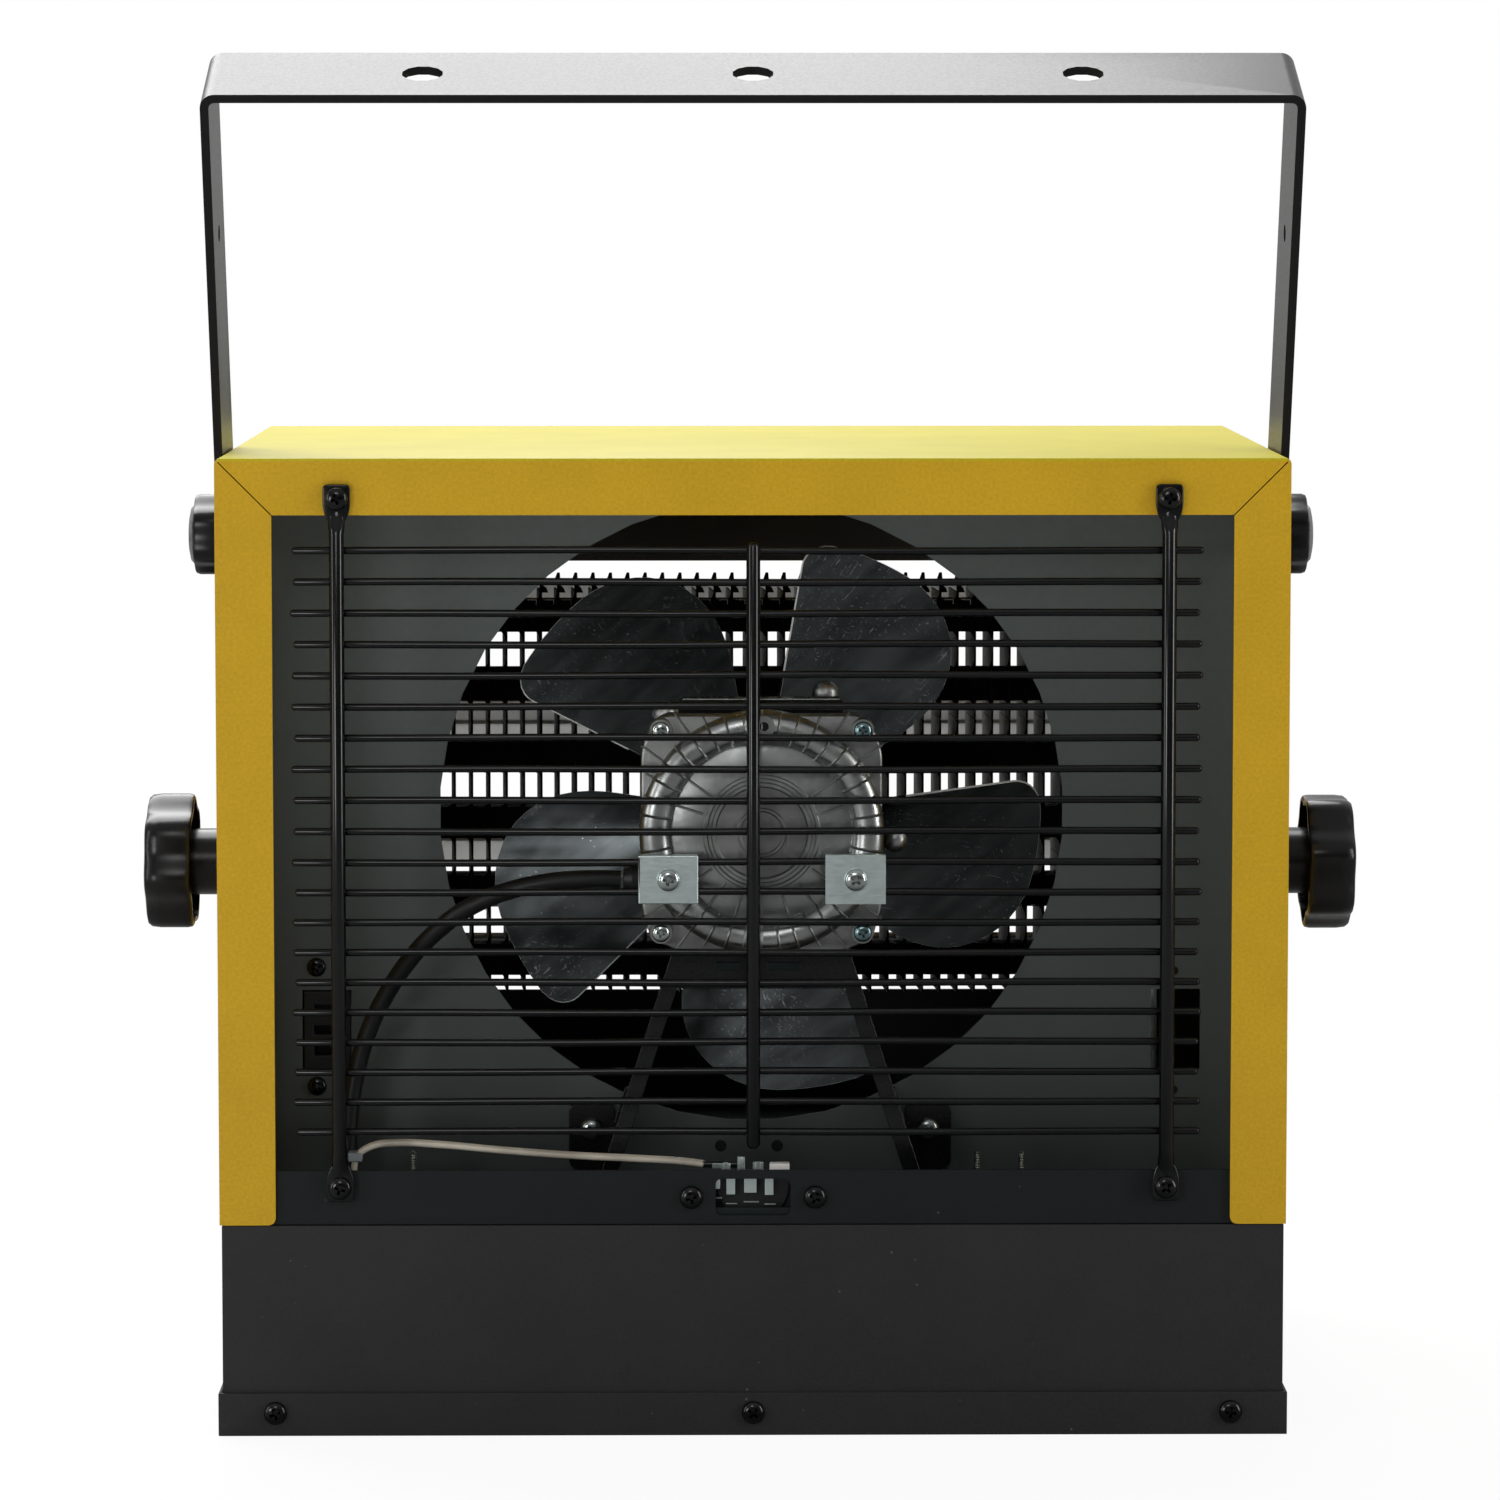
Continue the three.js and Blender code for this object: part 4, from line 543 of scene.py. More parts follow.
def to_piece(bm: BMesh, name: str, body: str, finish: Finish, nodes: Sequence[str] = (),
             sharp: float = 38, edge: float = 0.0) -> bpy.types.Object:
    """Turns a bmesh into a finished piece that rides on a body.

    Args:
        bm: the mesh under construction; it is freed.
        name: the piece's name.
        body: the body that it rides on.
        finish: its surface.
        nodes: the frame's nodes that it stands for.
        sharp: edges over this angle in degrees stay sharp.
        edge: the width of a bevel in millimetres, or 0 for none.
    Returns:
        The new object.
    """
    bmesh.ops.recalc_face_normals(bm, faces=bm.faces)
    mesh = bpy.data.meshes.new(name)
    bm.to_mesh(mesh)
    bm.free()
    mesh.polygons.foreach_set("use_smooth", [True] * len(mesh.polygons))
    mesh.set_sharp_from_angle(angle=math.radians(sharp))
    mesh.materials.append(finish.material())
    piece = bpy.data.objects.new(name, mesh)
    if edge:
        bevel = piece.modifiers.new("edge", "BEVEL")
        bevel.width = edge * MM
        bevel.segments = 2
        bevel.limit_method = "ANGLE"
        bevel.angle_limit = math.radians(sharp)
        bevel.harden_normals = True
    return enrolled(piece, body, nodes)


def refined(node: str, name: str, finish: Finish, edge: float = 0.3, sharp: float = 32) -> bpy.types.Object:
    """Copies a node's solid, joins its flat facets and rounds its edges.

    Args:
        node: the frame's node.
        name: the new piece's name.
        finish: its surface.
        edge: bevel width in millimetres.
        sharp: edges over this angle in degrees are rounded.
    Returns:
        The new object.
    """
    return to_piece(merged_copy(node), name, body_of(node), finish, [node], sharp, edge)


def merged_copy(node: str) -> BMesh:
    """Copies a node's mesh, with its facets joined and its flat faces made whole.

    Args:
        node: the frame's node.
    Returns:
        The copy, as a mesh under construction.
    """
    bm = bmesh.new()
    bm.from_mesh(frame["nodes"][node].data)
    bmesh.ops.remove_doubles(bm, verts=bm.verts, dist=0.002 * MM)
    bmesh.ops.dissolve_limit(bm, angle_limit=math.radians(0.6), verts=bm.verts, edges=bm.edges)
    return bm


def body_of(node: str) -> str:
    """The body that a node belongs to."""
    return frame["nodes"][node]["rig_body"]


@dataclass(frozen=True)
class Extent:
    """A box in millimetres, by the places of its six sides."""

    left: float
    right: float
    rear: float
    front: float
    floor: float
    top: float


def extent(node: str) -> Extent:
    """The box of a node."""
    low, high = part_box(node)
    return Extent(*(v / MM for v in (low.x, high.x, low.y, high.y, low.z, high.z)))


def rod(bm: BMesh, radius: float, length: float, where: Matrix, sides: int = 24,
        tip: float = None) -> list[BMVert]:
    """Adds a round bar, or a cone when a tip radius is given, that starts at the place.

    Args:
        bm: the mesh under construction.
        radius: at the start, in millimetres.
        length: along the place's Z, in millimetres.
        where: the start and direction.
        sides: how many flat sides the round has.
        tip: radius at the far end, if it differs.
    Returns:
        The new vertices.
    """
    end = radius if tip is None else tip
    made = bmesh.ops.create_cone(bm, cap_ends=True, segments=sides, radius1=radius * MM, radius2=end * MM,
                                 depth=length * MM, matrix=where @ at(0, 0, length / 2))
    return made["verts"]


def block(bm: BMesh, low: Sequence[float], high: Sequence[float], where: Matrix = None) -> list[BMVert]:
    """Adds a block between two corners.

    Args:
        bm: the mesh under construction.
        low: its lowest corner, in millimetres.
        high: its highest corner.
        where: the place and direction, if they aren't the scene's.
    Returns:
        The new vertices.
    """
    size = [b - a for a, b in zip(low, high)]
    centre = [(a + b) / 2 for a, b in zip(low, high)]
    matrix = (where or Matrix.Identity(4)) @ at(*centre) @ Matrix.Diagonal((*(s * MM for s in size), 1))
    return bmesh.ops.create_cube(bm, size=1, matrix=matrix)["verts"]


def turned(bm: BMesh, profile: Sequence[tuple[float, float]], where: Matrix,
           steps: int = 48) -> list[BMVert]:
    """Adds a turned shape from (radius, height) points about the place's Z, in millimetres.

    Args:
        bm: the mesh under construction.
        profile: its outline, from the axis or round a ring.
        where: the place and direction.
        steps: how many steps make the full turn.
    Returns:
        The new vertices.
    """
    before = set(bm.verts)
    points = [bm.verts.new((r * MM, 0, h * MM)) for r, h in profile]
    edges = [bm.edges.new(pair) for pair in zip(points, points[1:])]
    bmesh.ops.spin(bm, geom=points + edges, cent=(0, 0, 0), axis=(0, 0, 1), dvec=(0, 0, 0),
                   angle=math.tau, steps=steps, use_merge=True)
    made = [v for v in bm.verts if v not in before]
    bmesh.ops.remove_doubles(bm, verts=made, dist=0.001 * MM)
    made = [v for v in bm.verts if v not in before]
    bmesh.ops.transform(bm, matrix=where, verts=made)
    return made


def loft(bm: BMesh, stations: Sequence[tuple[float, float, float, float]], where: Matrix,
         sides: int = 20) -> None:
    """Adds a closed bar whose oval section changes along the place's Z.

    Args:
        bm: the mesh under construction.
        stations: (height, half width, half depth, shift in depth) in millimetres.
        where: the place and direction.
        sides: how many flat sides the oval has.
    """
    ring = bmesh.ops.create_circle(bm, cap_ends=False, segments=sides, radius=1)["verts"]
    unit = [v.co.copy() for v in ring]
    edges = list({e for v in ring for e in v.link_edges})
    everything = list(ring)
    bmesh.ops.contextual_create(bm, geom=edges)
    for number, (height, wide, deep, shift) in enumerate(stations):
        if number:
            out = bmesh.ops.extrude_edge_only(bm, edges=edges)["geom"]
            fresh = [g for g in out if isinstance(g, BMVert)]
            edges = [g for g in out if isinstance(g, BMEdge)]
            ring = [min(fresh, key=lambda v, o=old: (v.co - o.co).length) for old in ring]
            everything += ring
        for vert, flat in zip(ring, unit):
            vert.co = Vector((flat.x * wide, flat.y * deep + shift, height)) * MM
    bmesh.ops.contextual_create(bm, geom=edges)
    bmesh.ops.transform(bm, matrix=where, verts=everything)


def prism(bm: BMesh, outline: Sequence[tuple[float, float]], depth: float, where: Matrix) -> list[BMVert]:
    """Adds a flat outline, thickened along the place's Z.

    Args:
        bm: the mesh under construction.
        outline: its points, in millimetres.
        depth: its thickness, in millimetres.
        where: the place and direction.
    Returns:
        The new vertices.
    """
    points = [bm.verts.new((x * MM, y * MM, 0)) for x, y in outline]
    face = bm.faces.new(points)
    out = bmesh.ops.extrude_face_region(bm, geom=[face])["geom"]
    top = [g for g in out if isinstance(g, BMVert)]
    bmesh.ops.translate(bm, verts=top, vec=(0, 0, depth * MM))
    bmesh.ops.transform(bm, matrix=where, verts=points + top)
    return points + top


def rounded(outline: Sequence[tuple[float, float, float]], steps: int = 5) -> list[tuple[float, float]]:
    """Rounds each corner of an outline by a short curve.

    Args:
        outline: the corners as (x, y, radius), in millimetres.
        steps: how many steps make a corner's curve.
    Returns:
        The rounded outline's points.
    """
    points = []
    count = len(outline)
    for i, (x, y, radius) in enumerate(outline):
        here = Vector((x, y))
        ends = []
        for other in (outline[i - 1], outline[(i + 1) % count]):
            way = Vector(other[:2]) - here
            ends.append(here + way.normalized() * min(radius, way.length * 0.45))
        for k in range(steps + 1):
            t = k / steps
            spot = ends[0] * (1 - t) ** 2 + here * 2 * t * (1 - t) + ends[1] * t ** 2
            points.append((spot.x, spot.y))
    return points


def bevelled(bm: BMesh, edges: Sequence[BMEdge], width: float, segments: int) -> None:
    """Rounds some edges of a mesh.

    Args:
        bm: the mesh under construction.
        edges: the edges to round.
        width: of the rounding, in millimetres.
        segments: how many flat strips make it.
    """
    bmesh.ops.bevel(bm, geom=edges, offset=width * MM, offset_type="OFFSET", segments=segments, profile=0.5,
                    affect="EDGES", clamp_overlap=True, material=-1)


@dataclass
class PanHead:
    """A domed screw head with a cross recess, made once and stamped where it is needed."""

    radius: float = 4.0
    height: float = 2.6
    shank: float = 1.95
    rim_share: float = 0.28
    crown_power: float = 0.7
    slot_half: float = 0.6
    arm_share: float = 0.66
    recess_share: float = 0.85
    foot_shares: tuple[float, float] = (0.35, 0.6)
    pit: float = 0.75
    overrun: float = 1.2
    mesh: bpy.types.Mesh = field(init=False)

    def __post_init__(self) -> None:
        """Builds the template at the origin with the head along +Z."""
        self.mesh = self._cut(self._dome(), self._cross())

    def _dome(self) -> bpy.types.Object:
        """Turns the head without its recess.

        Returns:
            A temporary object.
        """
        bm = bmesh.new()
        rim = self.rim_share
        profile = [(0.0, 0.0), (self.radius, 0.0), (self.radius, self.height * rim)]
        for k in range(1, 7):
            angle = k / 6 * math.pi / 2
            profile.append((self.radius * math.cos(angle) ** self.crown_power,
                            self.height * (rim + (1 - rim) * math.sin(angle))))
        turned(bm, profile, Matrix.Identity(4), 32)
        return self._scratch(bm)

    def _cross(self) -> bpy.types.Object:
        """Makes the cutter of the cross recess, narrower at its foot.

        Returns:
            A temporary object.
        """
        bm = bmesh.new()
        arm, deep = self.radius * self.arm_share, self.height * self.recess_share
        for turn in (0, math.pi / 2):
            verts = block(bm, (-arm, -self.slot_half, -deep), (arm, self.slot_half, self.overrun))
            for vert in verts:
                if vert.co.z < 0:
                    vert.co.x *= self.foot_shares[0]
                    vert.co.y *= self.foot_shares[1]
            bmesh.ops.rotate(bm, verts=verts, cent=(0, 0, 0), matrix=Matrix.Rotation(turn, 3, "Z"))
        rod(bm, self.pit, deep + self.overrun, at(0, 0, -deep), 10)
        bmesh.ops.translate(bm, verts=bm.verts, vec=(0, 0, self.height * MM))
        return self._scratch(bm)

    @staticmethod
    def _scratch(bm: BMesh) -> bpy.types.Object:
        """Makes a temporary object for the boolean cut.

        Args:
            bm: its mesh, which is freed.
        Returns:
            The temporary object.
        """
        bmesh.ops.recalc_face_normals(bm, faces=bm.faces)
        mesh = bpy.data.meshes.new("scratch")
        bm.to_mesh(mesh)
        bm.free()
        made = bpy.data.objects.new("scratch", mesh)
        bpy.context.scene.collection.objects.link(made)
        return made

    @staticmethod
    def _cut(head: bpy.types.Object, cutter: bpy.types.Object) -> bpy.types.Mesh:
        """Cuts the recess and deletes both temporary objects.

        Args:
            head: the head without its recess.
            cutter: what is cut out of it.
        Returns:
            The head's mesh.
        """
        boolean = head.modifiers.new("recess", "BOOLEAN")
        boolean.object = cutter
        boolean.use_self = True
        view = bpy.context.evaluated_depsgraph_get()
        result = bpy.data.meshes.new_from_object(head.evaluated_get(view))
        for temporary in (head, cutter):
            bpy.data.objects.remove(temporary)
        return result

    def stamp(self, bm: BMesh, where: Matrix, scale: float = 1.0) -> None:
        """Adds a copy of the head to a mesh.

        Args:
            bm: the mesh under construction.
            where: the place of the head's underside, and its direction.
            scale: its size against the template's.
        """
        before = set(bm.verts)
        bm.from_mesh(self.mesh)
        made = [v for v in bm.verts if v not in before]
        bmesh.ops.transform(bm, matrix=where @ Matrix.Scale(scale, 4), verts=made)


def washer_screw(head: PanHead, name: str, node: str, finish: Finish, turn: float) -> bpy.types.Object:
    """A screw that stands for a node: its head faces -Y and its shank runs to +Y.

    Args:
        head: the head's template.
        name: the piece's name.
        node: the frame's node.
        finish: its surface.
        turn: how far the recess is turned, in degrees.
    Returns:
        The new object.
    """
    low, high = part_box(node)
    centre = (low + high) / 2 / MM
    face = low.y / MM + head.height
    bm = bmesh.new()
    place = at(centre.x, face, centre.z)
    head.stamp(bm, place @ Axis.REAR.value @ Matrix.Rotation(math.radians(turn), 4, "Z"))
    rod(bm, head.shank, high.y / MM - face, place @ Axis.Y.value, 16)
    return to_piece(bm, name, body_of(node), finish, [node])


@dataclass
class Shell:
    """Casing, fan panel, deck, control box, tray and outlet panel."""

    edge: float = 0.35
    bend: float = 1.7
    near: float = 0.01
    flange_depth: float = 1.5
    strip_length: float = 25.0
    strip_half: float = 1.2
    strip_sheet: float = 0.3
    mitre_inset: float = 10.4
    socket_side: float = -155.1
    socket_turns: tuple[tuple[float, float], ...] = ((155.2, 0.3), (112.4, 1.1))
    socket_screw_share: float = 0.85
    tips: tuple[float, ...] = (-119.0, 79.0, 94.5)
    tip_line: float = -95.0
    tip_foot: float = 75.3
    tip_rise: float = 20.4
    thread_radii: tuple[float, float] = (0.9, 1.25)
    thread_step: float = 0.45
    thread_steps: int = 44
    pilot_holes: tuple[tuple[float, float, float], ...] = (
        (-11.0, 90.6, 2.1), (9.2, 90.6, 2.1), (151.0, 153.6, 1.5), (151.0, 110.6, 1.5))

    def build(self, head: PanHead) -> None:
        """Dresses the shell and its screws.

        Args:
            head: the screw head's template.
        """
        self.casing()
        refined("fan_panel", "fan_panel_sheet", PANEL_GREY, 0.25)
        refined("chassis_deck", "deck_sheet", DECK_BLACK, 0.25)
        refined("control_box", "box_shell", BOX_BLACK, 0.5)
        refined("base_tray", "tray_shell", BOX_BLACK, 0.35)
        refined("front_panel", "outlet_panel", BOX_BLACK, 0.25)
        for number, side in enumerate(("left", "centre", "right")):
            washer_screw(head, f"tray_fixing_{side}", f"tray_screw_{side}", GUARD_BLACK, 20 + 31 * number)
        for hand, side in HANDS:
            washer_screw(head, f"ledge_fixing_{hand}", f"ledge_screw_{hand}", GUARD_BLACK, 40 + 25 * side)
        self.holes()
        self.mitres()
        self.socket_screws(head)
        self.screw_tips()

    def mitres(self) -> None:
        """Dark joint strips behind the mitred corners of the flanges."""
        low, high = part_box("outer_casing")
        reach, top = high.x / MM - self.mitre_inset, high.z / MM - self.mitre_inset
        half = self.strip_length / 2
        bm = bmesh.new()
        for _, side in HANDS:
            for y in (low.y / MM + self.flange_depth, high.y / MM - self.flange_depth - self.strip_sheet):
                turn = Matrix.Rotation(math.radians(-45 * side), 4, "Y")
                block(bm, (-half, 0, -self.strip_half), (half, self.strip_sheet, self.strip_half),
                      at(side * reach, y, top) @ turn)
        to_piece(bm, "casing_joint_strips", HEATER, HOLE_SHADE_AND_JOINT)

    def socket_screws(self, head: PanHead) -> None:
        """The two black screws over and under the socket's cut-out.

        Args:
            head: the screw head's template.
        """
        low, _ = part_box("fan_panel")
        bm = bmesh.new()
        for z, turn in self.socket_turns:
            place = at(self.socket_side, low.y / MM, z) @ Axis.REAR.value
            head.stamp(bm, place @ Matrix.Rotation(turn, 4, "Z"), self.socket_screw_share)
        to_piece(bm, "socket_fixings", HEATER, GUARD_BLACK)

    def screw_tips(self) -> None:
        """The threaded tips of the deck's screws, which stand up behind the ledge."""
        bm = bmesh.new()
        thread = [(self.thread_radii[k % 2], self.thread_step * k) for k in range(self.thread_steps)]
        for x in self.tips:
            turned(bm, [(0, 0), *thread, (0, self.tip_rise)], at(x, self.tip_line, self.tip_foot), 14)
        to_piece(bm, "deck_screw_tips", HEATER, SCREW_ZINC)

    def is_outer_corner(self, edge: BMEdge, low: Vector, high: Vector) -> bool:
        """Tells an outer corner between a flange and a wall from the casing's other edges.

        Args:
            edge: one of the casing's edges.
            low: the lowest corner of the casing's box, in metres.
            high: its highest corner.
        Returns:
            Whether the edge is such a corner.
        """
        near, band = self.near * MM, self.bend * 2 * MM
        ends = [v.co for v in edge.verts]
        on_flange = all(min(abs(c.y - low.y), abs(c.y - high.y)) < near for c in ends)
        on_wall = all(abs(abs(c.x) - high.x) < near or c.z > high.z - band for c in ends)
        outermost = all(abs(c.x) > high.x - band or c.z > high.z - near for c in ends)
        return on_flange and on_wall and outermost and edge.is_manifold and edge.calc_face_angle(0) > 0.5

    def casing(self) -> None:
        """The wrap, with a bend where its walls turn into the flanges."""
        bm = merged_copy("outer_casing")
        low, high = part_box("outer_casing")
        corners = [e for e in bm.edges if self.is_outer_corner(e, low, high)]
        bevelled(bm, corners, self.bend, 4)
        to_piece(bm, "casing_wrap", body_of("outer_casing"), YELLOW,
                 ["outer_casing"], 32, self.edge)

    def holes(self) -> None:
        """Small punched holes in the fan panel, as discs of painted shade set into its face."""
        low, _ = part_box("fan_panel")
        bm = bmesh.new()
        for x, z, radius in self.pilot_holes:
            rod(bm, radius, 0.3, at(x, low.y / MM - 0.05, z) @ Axis.Y.value, 20)
        to_piece(bm, "panel_pilot_holes", HEATER, HOLE_SHADE_AND_JOINT)


@dataclass
class Guard:
    """Twenty wires welded to three rods, with flattened ends under screws."""

    wires: int = 20
    upper_wires: int = 10
    wire: float = 1.3
    pitch_upper: float = 10.79
    pitch_lower: float = 10.43
    top_wire: float = 308.3
    left_cut: float = 0.3
    right_cut: float = 1.5
    stagger: float = 0.6
    sway: float = 0.35
    tip: float = 0.9
    rod: float = 2.6
    rod_side: float = 143.0
    rod_ends: tuple[float, float] = (82.4, 331.2)
    centre_rod: float = 2.4
    centre_foot: float = 101.0
    centre_length: float = 210.4
    sink: float = 0.5
    seat: float = -120.3
    eyelet_sheet: float = 1.8
    eyelet_round: float = 0.45

    def levels(self) -> list[float]:
        """Heights of the wires, from the top."""
        return [self.top_wire - min(i, self.upper_wires) * self.pitch_upper
                - max(i - self.upper_wires, 0) * self.pitch_lower for i in range(self.wires)]

    def build(self, head: PanHead) -> None:
        """Makes the guard and its four screws.

        Args:
            head: the screw head's template.
        """
        low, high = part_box("wire_guard")
        axis = high.y / MM - self.wire
        bm = bmesh.new()
        for number, level in enumerate(self.levels()):
            start = low.x / MM + self.left_cut + self.stagger * math.sin(number * 2.4)
            end = high.x / MM - self.right_cut + self.stagger * math.cos(number * 1.7)
            self.bar(bm, start, end, axis, level, number)
        for _, side in HANDS:
            self.upright(bm, self.rod_side * side, axis)
        self.centre(bm, axis)
        for level in self.levels():
            for x, depth in ((-self.rod_side, 1.5), (0.0, 1.2), (self.rod_side, 1.5)):
                self.weld(bm, x, axis - depth, level)
        to_piece(bm, "wire_guard_grille", HEATER, GUARD_BLACK, ["wire_guard"])
        for end in ("top", "bottom"):
            for hand, side in HANDS:
                turn = 30 * side + (50 if end == "top" else 12)
                place = f"{end}_{hand}"
                washer_screw(head, f"guard_fixing_{place}", f"guard_screw_{place}", GUARD_BLACK, turn)

    def bar(self, bm: BMesh, start: float, end: float, y: float, z: float, number: int) -> None:
        """Adds one wire, a little bent, with rounded ends.

        Args:
            bm: the mesh under construction.
            start: its left end along X, in millimetres.
            end: its right end.
            y: its depth.
            z: its height.
            number: which wire it is, for the bend's phase.
        """
        length = end - start
        cap = [(0, 0.5), (0.35, 1.0), (self.tip, self.wire)]
        stations = [(height, radius, radius, 0) for height, radius in cap]
        for k in range(1, 12):
            t = k / 12
            sway = self.sway * math.sin(math.pi * t * 2 + number) * math.sin(math.pi * t)
            stations.append((self.tip + (length - 2 * self.tip) * t, self.wire, self.wire, sway))
        stations += [(length - height, radius, radius, 0) for height, radius in reversed(cap)]
        turn = at(start, y, z) @ Axis.X.value @ Matrix.Rotation(math.pi / 2, 4, "Z")
        loft(bm, stations, turn, 12)

    def centre(self, bm: BMesh, axis: float) -> None:
        """Adds the middle rod with its rounded ends.

        Args:
            bm: the mesh under construction.
            axis: the wires' depth along Y, in millimetres.
        """
        full, top = self.centre_rod, self.centre_length
        stations = [(0, 0.9, 0.9, 0), (0.5, 1.9, 1.9, 0), (1.4, full, full, 0),
                    (top - 1.8, full, full, 0), (top - 0.6, 1.9, 1.9, 0), (top, 0.8, 0.8, 0)]
        loft(bm, stations, at(0, axis - self.wire - full + self.sink, self.centre_foot), 20)

    def upright(self, bm: BMesh, x: float, axis: float) -> None:
        """Adds a side rod with its two flattened ends.

        Args:
            bm: the mesh under construction.
            x: the rod's place along X, in millimetres.
            axis: the wires' depth along Y.
        """
        lie = axis - self.wire - self.rod + self.sink
        flat = self.seat - self.eyelet_sheet / 2 - lie
        half = [(8.6, 2.2, 0.8, flat), (10.4, 2.6, 1.0, flat * 0.97), (12.4, 2.9, 1.5, flat * 0.75),
                (14.6, 2.9, 2.1, flat * 0.35), (17.0, self.rod, self.rod, 0)]
        low, high = self.rod_ends
        top = [(high - low - h, w, d, s) for h, w, d, s in reversed(half)]
        loft(bm, half + top, at(x, lie, low), 20)
        for end, way in ((low, 1), (high, -1)):
            self.paddle(bm, x, end, way)

    def paddle(self, bm: BMesh, x: float, end: float, way: int) -> None:
        """Adds the flattened end of a side rod, from its square tip to the neck.

        Args:
            bm: the mesh under construction.
            x: the rod's place along X, in millimetres.
            end: the height of the rod's end.
            way: 1 at the lower end and -1 at the upper one.
        """
        side = [(-4.7, 0, 1.7), (-4.75, 8.6, 3), (-2.7, 13.6, 2)]
        shape = rounded(side + [(-u, v, r) for u, v, r in reversed(side)])
        made = prism(bm, [(u, end + way * v) for u, v in shape], self.eyelet_sheet,
                     at(x, self.seat, 0) @ Axis.REAR.value)
        corners = {e for v in made for e in v.link_edges if e.is_manifold and e.calc_face_angle(0) > 1.0}
        bevelled(bm, list(corners), self.eyelet_round, 3)

    @staticmethod
    def weld(bm: BMesh, x: float, y: float, z: float) -> None:
        """Adds a small weld bead between a wire and a rod.

        Args:
            bm: the mesh under construction.
            x, y, z: its centre, in millimetres.
        """
        made = bmesh.ops.create_uvsphere(bm, u_segments=10, v_segments=6, radius=1.0 * MM,
                                         matrix=at(x, y, z))
        bmesh.ops.scale(bm, vec=(2.1, 1.0, 1.25), verts=made["verts"], space=at(-x, -y, -z))


